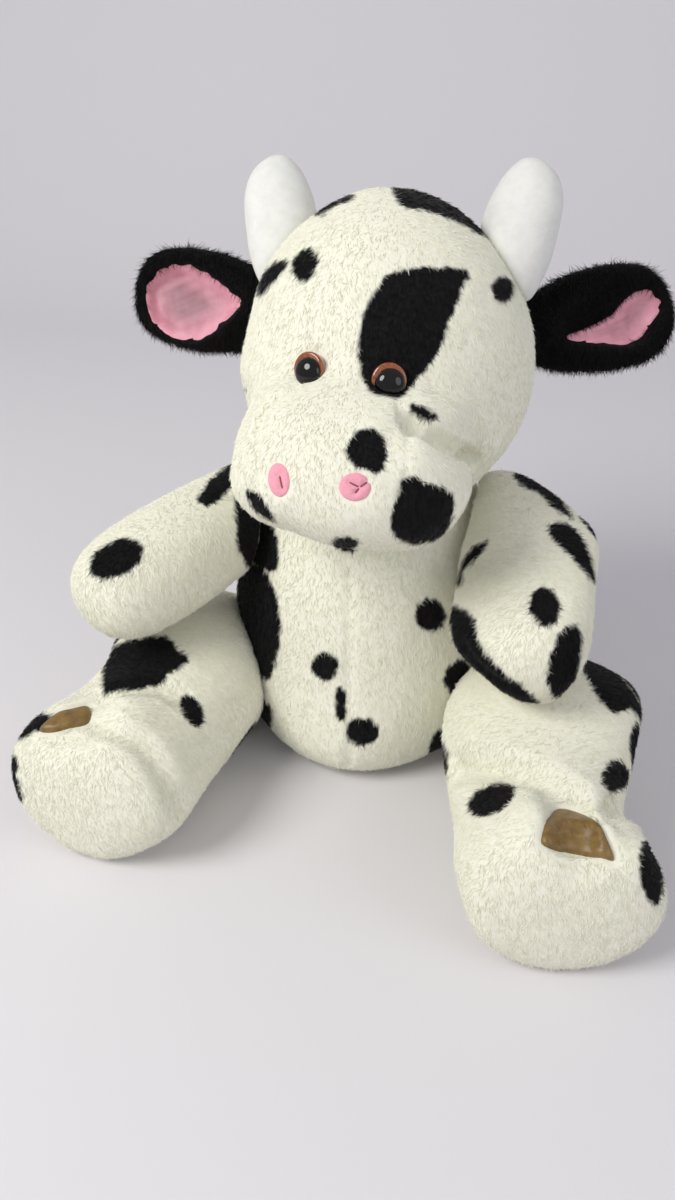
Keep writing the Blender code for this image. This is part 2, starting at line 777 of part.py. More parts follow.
def nostril(side, name, bars):
    """A felt patch on the muzzle, and the threads that draw it in."""
    start = HEAD @ Vector((side * NOSTRIL_SPREAD, 0.0, -NOSTRIL_DROP))
    forward = HEAD.to_3x3() @ Vector((0.0, -1.0, 0.0))
    point, normal = hit(muzzle_form, start, forward)
    place = along(point, point + normal, HEAD.to_3x3() @ Vector((0.0, 0.0, 1.0)))
    patch = rod(f"nostril_{name}", NOSTRIL_WIDTH, NOSTRIL_HEIGHT, MUZZLE_WIDTH / 2.0, place, felt)
    layer_on_muzzle(GAP, GAP + FELT_THICKNESS, patch)
    stitches = None
    for number, (across, up, angle, share) in enumerate(bars):
        at = Matrix.Translation((across * NOSTRIL_STITCH_LENGTH, up * NOSTRIL_STITCH_LENGTH, 0.0))
        bar = rod(
            f"nostril_stitches_{name}" if number == 0 else f"stitch_{name}_{number}",
            share * NOSTRIL_STITCH_LENGTH,
            NOSTRIL_THREAD,
            MUZZLE_WIDTH / 2.0,
            place @ at @ rotation(angle, "Z"),
            brown_thread if number == 0 else None,
            STITCH_SEGMENTS,
        )
        if stitches is None:
            stitches = bar
        else:
            combine(stitches, "UNION", bar)
    seat = 2.0 * GAP + FELT_THICKNESS
    layer_on_muzzle(seat, seat + NOSTRIL_THREAD, stitches)


nostril(1.0, "left", LEFT_NOSTRIL_SHARES)
nostril(-1.0, "right", RIGHT_NOSTRIL_SHARES)


# Horns


def horn(side, name, lean_out):
    """A velour tube that curves up from the crown, and its stuffing."""
    out = Vector((side * HORN_ROOT_X, HORN_ROOT_BACK, HORN_ROOT_Z))
    root = HEAD @ (out * HORN_ROOT_SHARE)
    lean = math.radians(lean_out)
    aim = Vector((side * math.sin(lean), 0.0, math.cos(lean)))
    outward = HEAD.to_3x3() @ Vector((side, 0.0, 0.0))
    place = along(root, root + HEAD.to_3x3() @ aim, outward)
    size = (HORN_DIAMETER, HORN_DEPTH, HORN_LENGTH)
    skin = soft_form(f"horn_{name}", size, HORN_SHARES, place, SMALL_SEGMENTS, velour)
    cavity = inner_form(f"horn_cavity_{name}", size, HORN_SHARES, place, HORN_WALL)
    filling = inner_form(
        f"horn_stuffing_{name}", size, HORN_SHARES, place, HORN_WALL + HORN_STUFFING_GAP, fibre
    )
    cut(skin, skull_room, cavity)
    cut(filling, skull_room)


horn(1.0, "left", LEFT_HORN_LEAN_OUT)
horn(-1.0, "right", RIGHT_HORN_LEAN_OUT)


# Ears


def ear(side, name, height_on_head, ear_rise, ear_sweep_back):
    """A cupped leaf of black pile with its pink lining, on a rolled root that turns in the head's seam."""
    start = HEAD @ Vector((0.0, EAR_BACK_ON_HEAD, height_on_head))
    outward = HEAD.to_3x3() @ Vector((side, 0.0, 0.0))
    point, _ = hit(skull_form, start, outward)
    rise = math.radians(ear_rise)
    sweep = math.radians(ear_sweep_back)
    aim = HEAD.to_3x3() @ Vector(
        (side * math.cos(rise) * math.cos(sweep), math.cos(rise) * math.sin(sweep), math.sin(rise))
    )
    pivot = point - aim * EAR_SINK
    front = HEAD.to_3x3() @ Vector((0.0, -1.0, 0.0))
    leaf = along(pivot, pivot + aim, front)
    size = (EAR_HEIGHT, EAR_THICKNESS, EAR_LENGTH)
    back = soft_form(f"ear_{name}", size, EAR_SHARES, leaf, SMALL_SEGMENTS, black_fur)
    roll_place = leaf @ rotation(90.0, "Y") @ rotation(EAR_ROLL_TWIST, "Z")
    rolls = []
    for part, more in (("roll", 0.0), ("groove", GAP)):
        mesh = bpy.data.meshes.new(f"ear_{part}_{name}")
        made = bmesh.new()
        bmesh.ops.create_uvsphere(
            made, u_segments=SMALL_BALL_SEGMENTS, v_segments=SMALL_BALL_SEGMENTS // 2, radius=1.0
        )
        thick = EAR_ROLL_RADIUS + more
        long = EAR_ROLL_LENGTH / 2.0 + more
        bmesh.ops.scale(made, vec=(thick, thick, long), verts=made.verts)
        made.to_mesh(mesh)
        made.free()
        rolls.append(add(mesh.name, mesh, roll_place))
    cut(back, grown_skull(f"ear_clearance_{name}", EAR_CLEARANCE))
    combine(back, "UNION", rolls[0])
    hollow_size = (
        EAR_HEIGHT - 2.0 * EAR_WALL,
        EAR_THICKNESS,
        EAR_LENGTH - EAR_ROLL_RADIUS - 2.0 * EAR_CUP_END,
    )
    hollow_place = leaf @ Matrix.Translation(
        (EAR_CUP_SHIFT, EAR_THICKNESS - EAR_CUP_DEPTH - EAR_LINING, EAR_ROLL_RADIUS + EAR_CUP_END)
    )
    hollow = soft_form(f"ear_hollow_{name}", hollow_size, EAR_LINING_SHARES, hollow_place, SMALL_SEGMENTS)
    lining_place = hollow_place @ Matrix.Translation((0.0, 0.0, GAP))
    lining_size = tuple(edge - 2.0 * GAP for edge in hollow_size)
    lining = soft_form(
        f"ear_lining_{name}", lining_size, EAR_LINING_SHARES, lining_place, SMALL_SEGMENTS, ear_cloth
    )
    cup_place = hollow_place @ Matrix.Translation((EAR_CUP_SHIFT, EAR_LINING, -EAR_CUP_MORE))
    cup_size = tuple(edge + 2.0 * EAR_CUP_MORE for edge in hollow_size)
    cup = soft_form(f"ear_cup_{name}", cup_size, EAR_LINING_SHARES, cup_place, SMALL_SEGMENTS)
    cut(back, hollow)
    cut(lining, cup)
    cut(head_skin, rolls[1])
    cut(head_stuffing, rolls[1])
    return pivot, leaf.to_3x3() @ Vector((1.0, 0.0, 0.0))


EAR_PIVOTS = {}
EAR_PIVOTS["left"] = ear(
    1.0, "left", LEFT_EAR_HEIGHT_ON_HEAD, LEFT_EAR_RISE, LEFT_EAR_SWEEP_BACK
)
EAR_PIVOTS["right"] = ear(
    -1.0, "right", RIGHT_EAR_HEIGHT_ON_HEAD, RIGHT_EAR_RISE, RIGHT_EAR_SWEEP_BACK
)


# Arms


def arm(name, root, tip):
    """A stuffed arm cut to the torso's round chest, about whose middle it swings."""
    side = Vector(root) - CHEST_CENTRE
    seat_reach = reach(torso_form, CHEST_CENTRE, side, ARM_SPREAD)
    seat = ball(f"chest_{name}", seat_reach + GAP, CHEST_CENTRE)
    start = Vector(tip) + (Vector(root) - Vector(tip)).normalized() * ARM_LENGTH
    place = along(start, tip, (0.0, 0.0, 1.0))
    size = (ARM_WIDTH, ARM_THICKNESS, ARM_LENGTH)
    skin = soft_form(f"arm_{name}", size, ARM_SHARES, place, LIMB_SEGMENTS, fur)
    cavity = inner_form(f"arm_cavity_{name}", size, ARM_SHARES, place, ARM_WALL)
    filling = inner_form(
        f"arm_stuffing_{name}", size, ARM_SHARES, place, ARM_WALL + STUFFING_GAP, fibre
    )
    cut(skin, seat, torso_room, cavity)
    cut(filling, seat, torso_room)
    return side.normalized()


ARM_AXES = {
    "right": arm("right", RIGHT_ARM_ROOT, RIGHT_ARM_TIP),
    "left": arm("left", LEFT_ARM_ROOT, LEFT_ARM_TIP),
}


# Legs


def on_the_floor(shares):
    """The rings shifted so that they all rest on one line along the underside."""
    return tuple((at, wide, deep, (deep - 1.0) / 2.0) for at, wide, deep, _ in shares)


def leg(name, sole_at, splay, side):
    """A stuffed leg and foot cut to the torso's round belly, with its sole panel and satin strip."""
    aim = Vector((side * math.sin(math.radians(splay)), -math.cos(math.radians(splay)), 0.0))
    sole = Vector((*sole_at, LEG_HEIGHT / 2.0 - FLAT_DEPTH))
    hip = sole - aim * LEG_LENGTH
    place = along(hip, sole, (0.0, 0.0, 1.0))
    size = (LEG_WIDTH, LEG_HEIGHT, LEG_LENGTH)
    rings = on_the_floor(LEG_SHARES)
    lateral = Vector((side * math.cos(math.radians(splay)), math.sin(math.radians(splay)), 0.0))
    under = aim - Vector((0.0, 0.0, math.tan(math.radians(HIP_LOOK_DOWN))))
    seat = ball(
        f"belly_{name}", reach(torso_form, BELLY_CENTRE, under, HIP_SPREAD) + GAP, BELLY_CENTRE
    )
    cavity = inner_form(f"leg_cavity_{name}", size, rings, place, LEG_WALL)
    cleft_top = Matrix.Translation((0.0, LEG_HEIGHT / 2.0, LEG_LENGTH - SOLE_DEPTH))
    cleft_place = place @ cleft_top @ rotation(CLEFT_SLOPE, "X")
    cleft = soft_form(
        f"cleft_{name}",
        (CLEFT_WIDTH, THROUGH_SHARE * CLEFT_DEPTH, CLEFT_LENGTH),
        TUFT_SHARES,
        cleft_place @ Matrix.Translation((0.0, 0.0, -CLEFT_LENGTH / 2.0)),
        SMALL_SEGMENTS,
    )
    strip_middle = LEG_LENGTH - SOLE_DEPTH - GAP - HOOF_STRIP_LENGTH / 2.0
    strip_place = place @ Matrix.Translation((0.0, LEG_HEIGHT / 2.0, strip_middle))
    strip_size = (HOOF_STRIP_WIDTH, HOOF_STRIP_HEIGHT, HOOF_STRIP_LENGTH)
    strip_room = box(f"strip_room_{name}", grown(strip_size, GAP), strip_place)
    strip_box = box(f"strip_box_{name}", strip_size, strip_place)
    sole_box = box(
        f"sole_box_{name}",
        (2.0 * LEG_WIDTH, 2.0 * LEG_HEIGHT, 2.0 * SOLE_DEPTH),
        place @ Matrix.Translation((0.0, 0.0, LEG_LENGTH)),
    )
    sole_room = box(
        f"sole_room_{name}",
        (2.0 * LEG_WIDTH, 2.0 * LEG_HEIGHT, 2.0 * (SOLE_DEPTH + GAP)),
        place @ Matrix.Translation((0.0, 0.0, LEG_LENGTH)),
    )
    skin = soft_form(f"leg_{name}", size, rings, place, LIMB_SEGMENTS, fur)
    cut(skin, seat, torso_room, cavity, floor, sole_room, strip_room)
    panel = soft_form(f"sole_{name}", size, rings, place, LIMB_SEGMENTS, fur)
    combine(panel, "INTERSECT", sole_box)
    cut(panel, cavity, floor)
    strip = soft_form(f"hoof_strip_{name}", size, rings, place, LIMB_SEGMENTS, satin)
    combine(strip, "INTERSECT", strip_box)
    cut(strip, cavity)
    for piece in (skin, panel, strip):
        cut(piece, cleft)
    filling = inner_form(
        f"leg_stuffing_{name}", size, rings, place, LEG_WALL + STUFFING_GAP, fibre
    )
    cut(filling, seat, torso_room)
    return lateral


LEG_AXES = {
    "right": leg("right", RIGHT_SOLE_AT, RIGHT_LEG_SPLAY, -1.0),
    "left": leg("left", LEFT_SOLE_AT, LEFT_LEG_SPLAY, 1.0),
}


# Tail


def tail():
    """A stuffed tail on a round root, with a black tuft on its end."""
    point, _ = hit(torso_form, (TAIL_ROOT_SHIFT, 0.0, TAIL_ROOT_HEIGHT), (0.0, 1.0, 0.0))
    droop = math.radians(TAIL_DROOP)
    aim = Vector((0.0, math.cos(droop), -math.sin(droop)))
    radius = TAIL_DIAMETER / 2.0
    pivot = point - Vector((0.0, TAIL_SINK, 0.0))
    place = along(pivot, pivot + aim, (0.0, 0.0, 1.0)) @ rotation(TAIL_TWIST, "Z")
    size = (TAIL_DIAMETER, TAIL_DIAMETER, TAIL_LENGTH)
    skin = soft_form("tail", size, TAIL_SHARES, place, SMALL_SEGMENTS, fur)
    root = ball("tail_root", radius, pivot, SMALL_BALL_SEGMENTS, False)
    cut(skin, grown_torso("tail_clearance", TAIL_CLEARANCE))
    combine(skin, "UNION", root)
    socket = ball("tail_socket", radius + GAP, pivot, SMALL_BALL_SEGMENTS)
    inner = tuple(side - 2.0 * TAIL_WALL for side in size)
    hollow = soft_form(
        "tail_cavity",
        (inner[0], inner[1], TAIL_LENGTH),
        TAIL_SHARES,
        place @ Matrix.Translation((0.0, 0.0, radius)),
        SMALL_SEGMENTS,
    )
    filling = soft_form(
        "tail_stuffing",
        (inner[0] - 2.0 * GAP, inner[1] - 2.0 * GAP, TAIL_LENGTH - 2.0 * STUFFING_GAP),
        TAIL_SHARES,
        place @ Matrix.Translation((0.0, 0.0, radius + STUFFING_GAP)),
        SMALL_SEGMENTS,
        fibre,
    )
    cut(skin, hollow)
    tuft_place = (
        place
        @ Matrix.Translation((0.0, 0.0, TAIL_LENGTH - TUFT_OVERLAP))
        @ rotation(TUFT_TWIST, "Z")
    )
    tuft = soft_form(
        "tail_tuft",
        (TUFT_DIAMETER, TUFT_DIAMETER, TUFT_LENGTH),
        TUFT_SHARES,
        tuft_place,
        SMALL_SEGMENTS,
        black_fur,
    )
    room = (TAIL_DIAMETER + 2.0 * GAP, TAIL_DIAMETER + 2.0 * GAP, TAIL_LENGTH + 2.0 * GAP)
    tail_room = soft_form(
        "tail_room", room, TAIL_SHARES, place @ Matrix.Translation((0.0, 0.0, -GAP)), SMALL_SEGMENTS
    )
    cut(tuft, tail_room, hollow)
    cut(body_skin, socket)
    cut(body_stuffing, socket)
    return pivot


TAIL_PIVOT = tail()
bpy.context.view_layer.update()



def rounded(values):
    return [round(value, 4) for value in values]


# The joints' places and axes
print("skull centre", rounded(SKULL_CENTRE))
for name, (pivot, axis) in EAR_PIVOTS.items():
    print("ear", name, rounded(pivot), rounded(axis))
for name, axis in ARM_AXES.items():
    print("arm", name, "through", rounded(CHEST_CENTRE), rounded(axis))
for name, axis in LEG_AXES.items():
    print("leg", name, "through", rounded(BELLY_CENTRE), rounded(axis))
print("tail", rounded(TAIL_PIVOT))
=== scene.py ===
"""The looks of a seated plush cow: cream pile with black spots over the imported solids. Metres, +Z up."""

import json
import math

import bmesh
import bpy
import numpy as np
from mathutils import Matrix, Vector
from mathutils.bvhtree import BVHTree

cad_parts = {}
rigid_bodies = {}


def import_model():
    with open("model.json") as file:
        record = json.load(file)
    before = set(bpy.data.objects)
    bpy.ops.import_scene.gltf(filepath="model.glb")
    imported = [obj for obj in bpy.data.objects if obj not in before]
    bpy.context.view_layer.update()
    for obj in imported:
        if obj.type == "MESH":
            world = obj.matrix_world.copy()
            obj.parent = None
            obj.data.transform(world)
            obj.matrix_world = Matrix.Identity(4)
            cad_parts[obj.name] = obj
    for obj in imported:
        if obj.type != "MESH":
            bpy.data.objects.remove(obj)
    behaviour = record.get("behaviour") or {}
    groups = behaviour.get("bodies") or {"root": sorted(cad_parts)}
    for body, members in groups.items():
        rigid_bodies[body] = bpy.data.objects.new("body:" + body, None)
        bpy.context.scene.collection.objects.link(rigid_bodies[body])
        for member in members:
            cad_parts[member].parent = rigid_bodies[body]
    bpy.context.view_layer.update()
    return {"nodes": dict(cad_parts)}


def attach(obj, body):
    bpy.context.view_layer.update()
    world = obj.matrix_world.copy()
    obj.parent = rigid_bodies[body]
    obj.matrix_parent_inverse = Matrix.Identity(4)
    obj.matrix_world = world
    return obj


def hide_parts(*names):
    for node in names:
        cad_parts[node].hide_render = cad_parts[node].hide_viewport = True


for old in list(bpy.data.objects):
    bpy.data.objects.remove(old)
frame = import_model()

# The photograph's camera: its frame in pixels, its place, and where it looks.
PHOTO = (675.0, 1200.0)
FOCAL = 1000.0
TURN = math.radians(11.0)
PITCH = math.radians(32.0)
AHEAD = Vector((-math.sin(TURN), math.cos(TURN), 0.0))
RIGHT = Vector((math.cos(TURN), math.sin(TURN), 0.0))
LOOK = AHEAD * math.cos(PITCH) - Vector((0.0, 0.0, math.sin(PITCH)))
UP = RIGHT.cross(LOOK)
CAMERA_BACK, CAMERA_LEFT, CAMERA_HEIGHT = 0.528, 0.020, 0.407
EYE = AHEAD * -CAMERA_BACK + RIGHT * -CAMERA_LEFT + Vector((0.0, 0.0, CAMERA_HEIGHT))
FILM_WIDTH = 36.0
NEAREST_SEEN = 0.01

# The pile: the faces' size, how it lies, its hairs' thickness, depth and scatter, the lowest height of
# roots, how even a place must be to carry hairs, and the few that stand up more than the rest.
FINE = 0.00115
LIE = (0.0, 0.20, -0.98)
LIE_SQUASH = (1.0, 1.0, 0.42)
HAIR = 0.00021
HAIR_DEPTH = 0.00012
HAIR_SCATTER = 0.0004
LOWEST_ROOT = 0.0020
EVEN_ENOUGH = 0.9
RAISED_SHARE, RAISED_TIMES = 0.14, 2.4
PILE_LOWEST = 0.0002

# How fast a pad's corner is drawn in until the camera sees it on the form, and how thin a thread ends.
DRAW_IN = 0.96
THREAD_TAPER = 0.35

# Spots, in pixels: the value outside every spot and the one from which a point's view is tested, how far
# round an outline is looked at, and how ragged and soft the edges are. A point is looked at down to a
# slightly negative squareness, and balls are lumpy by a share of their radius. In metres: how far behind
# what is seen a point is hidden, and what counts as a pixel on the balls.
OUTSIDE, NEAR_EDGE = -9.0, -3.0
SPOT_MARGIN = 8.0
BARELY_SEEN = -0.05
RAGGED = 1.6
EDGE = 3.2
LUMPY = 0.22
HIDDEN_BY = 0.008
BALL_PIXEL = 0.0006


def seen_at(points):
    """The photograph's pixel, and the depth, at which the camera sees each point."""
    away = points - np.array(EYE)
    depth = away @ np.array(LOOK)
    x = PHOTO[0] / 2 + FOCAL * (away @ np.array(RIGHT)) / depth
    y = PHOTO[1] / 2 - FOCAL * (away @ np.array(UP)) / depth
    return np.stack([x, y], 1), depth


def sight(x, y):
    """The direction in which the camera sees a pixel."""
    return (LOOK + RIGHT * ((x - PHOTO[0] / 2) / FOCAL) - UP * ((y - PHOTO[1] / 2) / FOCAL)).normalized()


def to_camera(points):
    """The directions in which the points see the camera."""
    away = np.array(EYE) - points
    return away / np.linalg.norm(away, axis=1)[:, None]


def squarely(points, normals):
    """How squarely the camera sees each point's surface: 1 from straight above, negative from behind."""
    return np.einsum("ij,ij->i", normals, to_camera(points))


def off_line(points, a, b):
    """How far each point lies from the straight line between a and b."""
    run = b - a
    t = np.clip((points - a) @ run / max(run @ run, 1e-9), 0.0, 1.0)
    return np.linalg.norm(points - a - t[:, None] * run, axis=1)


def grain(points, size, seed, across=32, shift=0.37):
    """Smooth noise from -1 to 1, with grains of that size. It repeats after so many grains."""
    lattice = np.random.default_rng(seed).uniform(-1.0, 1.0, (across, across, across))
    q = points / size + shift
    cell = np.floor(q).astype(int)
    t = q - cell
    t = t * t * (3.0 - 2.0 * t)
    total = np.zeros(len(points))
    for dx in (0, 1):
        for dy in (0, 1):
            for dz in (0, 1):
                weight = (
                    (t[:, 0] if dx else 1.0 - t[:, 0])
                    * (t[:, 1] if dy else 1.0 - t[:, 1])
                    * (t[:, 2] if dz else 1.0 - t[:, 2])
                )
                at = (cell + (dx, dy, dz)) % across
                total += weight * lattice[at[:, 0], at[:, 1], at[:, 2]]
    return total


class Form:
    """A closed mesh that is worked on as arrays before it becomes a piece."""

    def __init__(self, mesh):
        self.mesh = mesh
        self.points = np.zeros(len(mesh.vertices) * 3)
        mesh.vertices.foreach_get("co", self.points)
        self.points = self.points.reshape(-1, 3)
        self.edges = np.zeros(len(mesh.edges) * 2, int)
        mesh.edges.foreach_get("vertices", self.edges)
        self.edges = self.edges.reshape(-1, 2)
        self.count = np.bincount(self.edges.reshape(-1), minlength=len(self.points))[:, None]

    def averaged(self, values):
        """The mean of each point's neighbours."""
        a, b = self.edges[:, 0], self.edges[:, 1]
        n = len(self.points)
        total = np.stack(
            [
                np.bincount(a, values[b, i], n) + np.bincount(b, values[a, i], n)
                for i in range(values.shape[1])
            ],
            1,
        )
        return total / np.maximum(self.count, 1)

    def relax(self, rounds, share=0.6):
        """Smoothed by moving each point towards its neighbours."""
        for _ in range(rounds):
            self.points += share * (self.averaged(self.points) - self.points)

    def swell(self, by):
        """Each point moved outwards by so much."""
        self.points = self.points + self.normals() * np.reshape(by, (-1, 1))

    def write(self):
        """The points put into the mesh."""
        self.mesh.vertices.foreach_set("co", self.points.reshape(-1))
        self.mesh.update()

    def normals(self):
        self.write()
        found = np.zeros(len(self.points) * 3)
        self.mesh.vertex_normals.foreach_get("vector", found)
        return found.reshape(-1, 3)

    def tree(self):
        self.write()
        return BVHTree.FromPolygons(
            [tuple(p) for p in self.points], [tuple(f.vertices) for f in self.mesh.polygons]
        )

    def remesh(self, voxel):
        """The same form in even faces of that size."""
        self.write()
        work = bpy.data.objects.new("work", self.mesh)
        bpy.context.scene.collection.objects.link(work)
        even = work.modifiers.new("even", "REMESH")
        even.mode = "VOXEL"
        even.voxel_size = voxel
        bpy.context.view_layer.update()
        made = bpy.data.meshes.new_from_object(
            work.evaluated_get(bpy.context.evaluated_depsgraph_get())
        )
        bpy.data.objects.remove(work)
        self.__init__(made)

    def fill(self, rounds, weight):
        """Hollows filled as a stretched cloth would, by that weight at each point."""
        before, normals = self.points.copy(), self.normals()
        self.relax(rounds)
        outward = np.maximum(np.einsum("ij,ij->i", self.points - before, normals), 0.0)
        self.points = before + normals * (outward * weight)[:, None]

    def pull(self, x, y, across, down, radius):
        """What the camera sees round a pixel moved by so many pixels across and down its view."""
        pixels, depth = seen_at(self.points)
        share = np.exp(-(((pixels - (x, y)) ** 2).sum(1) / radius**2)) * depth / FOCAL
        self.points = self.points + share[:, None] * np.array(RIGHT * across - UP * down)

    def groove(self, path, width, depth):
        """A line pressed into the form along the path's points. A negative depth makes a ridge."""
        path = np.array(path)
        reach = np.full(len(self.points), np.inf)
        for a, b in zip(path[:-1], path[1:]):
            reach = np.minimum(reach, off_line(self.points, a, b))
        share = np.clip(1.0 - (reach / width) ** 2, 0.0, 1.0) ** 2
        self.swell(-depth * share)


def joined(nodes, hulls=()):
    """The solids in one mesh, with the closed forms stretched over sets of points."""
    bm = bmesh.new()
    for node in nodes:
        bm.from_mesh(frame["nodes"][node].data)
    for corners in hulls:
        made = [bm.verts.new(corner) for corner in corners]
        bmesh.ops.convex_hull(bm, input=made)
    mesh = bpy.data.meshes.new("joined")
    bm.to_mesh(mesh)
    bm.free()
    return mesh


def on_form(tree, pixels):
    """Where the camera's lines of sight through these pixels meet the form."""
    found = [tree.ray_cast(EYE, sight(x, y))[0] for x, y in pixels]
    return [tuple(p) for p in found if p is not None]


def outline(corners):
    """A closed smooth line through the corners."""
    corners = np.array(corners, float)
    line = []
    for i in range(len(corners)):
        p0, p1, p2, p3 = (corners[(i + k) % len(corners)] for k in (-1, 0, 1, 2))
        for t in (0.0, 0.25, 0.5, 0.75):
            line.append(
                0.5
                * (
                    2 * p1
                    + (p2 - p0) * t
                    + (2 * p0 - 5 * p1 + 4 * p2 - p3) * t * t
                    + (3 * p1 - p0 - 3 * p2 + p3) * t * t * t
                )
            )
    return np.array(line)


def oval(x, y, wide, high, tilt=0.0):
    """An outline round a pixel, tilted clockwise by degrees."""
    c, s = math.cos(math.radians(tilt)), math.sin(math.radians(tilt))
    return [
        (
            x + wide / 2 * math.cos(a) * c - high / 2 * math.sin(a) * s,
            y + wide / 2 * math.cos(a) * s + high / 2 * math.sin(a) * c,
        )
        for a in (k * math.pi / 4 for k in range(8))
    ]


def inside_by(pixels, line):
    """How many pixels each pixel lies inside the closed line; negative outside."""
    best = np.full(len(pixels), np.inf)
    crossings = np.zeros(len(pixels), bool)
    for a, b in zip(line, np.roll(line, -1, 0)):
        best = np.minimum(best, off_line(pixels, a, b))
        if a[1] != b[1]:
            between = (a[1] <= pixels[:, 1]) != (b[1] <= pixels[:, 1])
            slope = (b[0] - a[0]) / (b[1] - a[1])
            crossings ^= between & (pixels[:, 0] < a[0] + (pixels[:, 1] - a[1]) * slope)
    return np.where(crossings, best, -best)


def spotted(form, drawn, balls):
    """How black the pile is at each point: drawn outlines as the camera sees them, and balls in space."""
    points, normals = form.points, form.normals()
    pixels, _ = seen_at(points)
    to_eye = to_camera(points)
    strands = points * LIE_SQUASH
    ragged = RAGGED * grain(strands, 0.0024, 11) + RAGGED * grain(strands, 0.0012, 12)
    black = np.full(len(points), OUTSIDE)
    facing = squarely(points, normals) > BARELY_SEEN
    for corners in drawn:
        line = outline(corners)
        low, high = line.min(0) - SPOT_MARGIN, line.max(0) + SPOT_MARGIN
        near = np.flatnonzero(facing & (pixels > low).all(1) & (pixels < high).all(1))
        black[near] = np.maximum(black[near], inside_by(pixels[near], line))
    tree = form.tree()
    for i in np.flatnonzero(black > NEAR_EDGE):
        hit = tree.ray_cast(EYE, Vector(-to_eye[i]))[3]
        if hit is not None and hit < (Vector(points[i]) - EYE).length - HIDDEN_BY:
            black[i] = OUTSIDE
    for x, y, z, radius in balls:
        reach = np.linalg.norm(points - (x, y, z), axis=1)
        lumpy = radius * (1.0 + LUMPY * grain(points, radius * 1.1, 13))
        black = np.maximum(black, (lumpy - reach) / BALL_PIXEL)
    return np.clip((black + ragged) / EDGE + 0.5, 0.0, 1.0)


def shader(name, colour, roughness, **more):
    """A material, its node tree and its surface node, with more of the surface's inputs by name."""
    made = bpy.data.materials.new(name)
    made.use_nodes = True
    surface = made.node_tree.nodes["Principled BSDF"]
    surface.inputs["Base Color"].default_value = (*colour, 1.0)
    surface.inputs["Roughness"].default_value = roughness
    for key, value in more.items():
        surface.inputs[key.replace("_", " ")].default_value = value
    return made, made.node_tree, surface


def node(tree, kind, **inputs):
    """A shader node of that kind, with its inputs by name."""
    made = tree.nodes.new("ShaderNode" + kind)
    for key, value in inputs.items():
        made.inputs[key].default_value = value
    return made


def noise(tree, scale, detail=3.0, roughness=0.6, stretch=1.0):
    """Noise in the object's own space."""
    place = node(tree, "TexCoord")
    lie = node(tree, "Mapping", Scale=(1.0, 1.0, stretch))
    made = node(tree, "TexNoise", Scale=scale, Detail=detail, Roughness=roughness)
    tree.links.new(place.outputs["Object"], lie.inputs["Vector"])
    tree.links.new(lie.outputs["Vector"], made.inputs["Vector"])
    return made.outputs["Fac"]


def ramp(tree, value, low, high, dark, light):
    """A colour that goes from dark to light as the value goes from low to high."""
    made = tree.nodes.new("ShaderNodeValToRGB")
    made.color_ramp.elements[0].position = low
    made.color_ramp.elements[1].position = high
    made.color_ramp.elements[0].color = (*dark, 1.0)
    made.color_ramp.elements[1].color = (*light, 1.0)
    tree.links.new(value, made.inputs["Fac"])
    return made.outputs["Color"]


def bump(tree, surface, value, distance, strength=1.0):
    """A relief in the surface's normal."""
    made = node(tree, "Bump", Strength=strength, Distance=distance)
    tree.links.new(value, made.inputs["Height"])
    tree.links.new(made.outputs["Normal"], surface.inputs["Normal"])


def mixed(tree, factor, a, b):
    """Colour a where the factor is 0, and b where it is 1."""
    made = tree.nodes.new("ShaderNodeMix")
    made.data_type = "RGBA"
    tree.links.new(factor, made.inputs[0])
    tree.links.new(a, made.inputs[6])
    tree.links.new(b, made.inputs[7])
    return made.outputs[2]


def pile_material(name, light, shade, dark, dark_shade, sheen):
    """Short pile: one colour where the spot value is 0 and the other where it is 1, both mottled."""
    made, tree, surface = shader(name, light, 0.95, Sheen_Weight=sheen, Sheen_Roughness=0.45)
    surface.inputs["Specular IOR Level"].default_value = 0.10
    mottle = noise(tree, 620.0, 4.0, 0.65, 0.3)
    spot = tree.nodes.new("ShaderNodeAttribute")
    spot.attribute_name = "spot"
    white = ramp(tree, mottle, 0.30, 0.62, shade, light)
    black = ramp(tree, mottle, 0.35, 0.75, dark, dark_shade)
    tree.links.new(mixed(tree, spot.outputs["Fac"], white, black), surface.inputs["Base Color"])
    bump(tree, surface, noise(tree, 1500.0, 3.0, 0.6, 0.3), 0.0003, 0.35)
    return made


def mottled(name, colour, roughness, grains, spread, dark, light, relief=None, **more):
    """Two colours mottled by noise, with a fine relief: noise values, distance and strength."""
    made, tree, surface = shader(name, colour, roughness, **more)
    mottle = noise(tree, *grains)
    tree.links.new(ramp(tree, mottle, *spread, dark, light), surface.inputs["Base Color"])
    if relief is not None:
        fine, distance, strength = relief
        bump(tree, surface, noise(tree, *fine), distance, strength)
    return made


FUR = pile_material(
    "cream_and_black_pile",
    (0.88, 0.875, 0.755), (0.81, 0.795, 0.655), (0.003, 0.003, 0.004), (0.014, 0.013, 0.013), 0.06,
)
EAR_FUR = pile_material(
    "black_long_pile",
    (0.87, 0.87, 0.76), (0.80, 0.79, 0.67), (0.003, 0.003, 0.003), (0.010, 0.009, 0.009), 0.05,
)
VELOUR = mottled(
    "white_velour", (0.84, 0.84, 0.81), 0.85, (160.0, 3.0), (0.35, 0.6), (0.75, 0.75, 0.72),
    (0.80, 0.80, 0.77), ((2600.0, 2.0), 0.0002, 0.6), Sheen_Weight=0.08, Sheen_Roughness=0.4,
)
FELT = mottled(
    "pink_felt", (0.93, 0.36, 0.46), 0.95, (900.0, 5.0, 0.75), (0.3, 0.7), (0.85, 0.31, 0.40),
    (0.93, 0.47, 0.55), ((900.0, 5.0, 0.75), 0.0006, 0.6), Sheen_Weight=0.15, Sheen_Roughness=0.5,
)
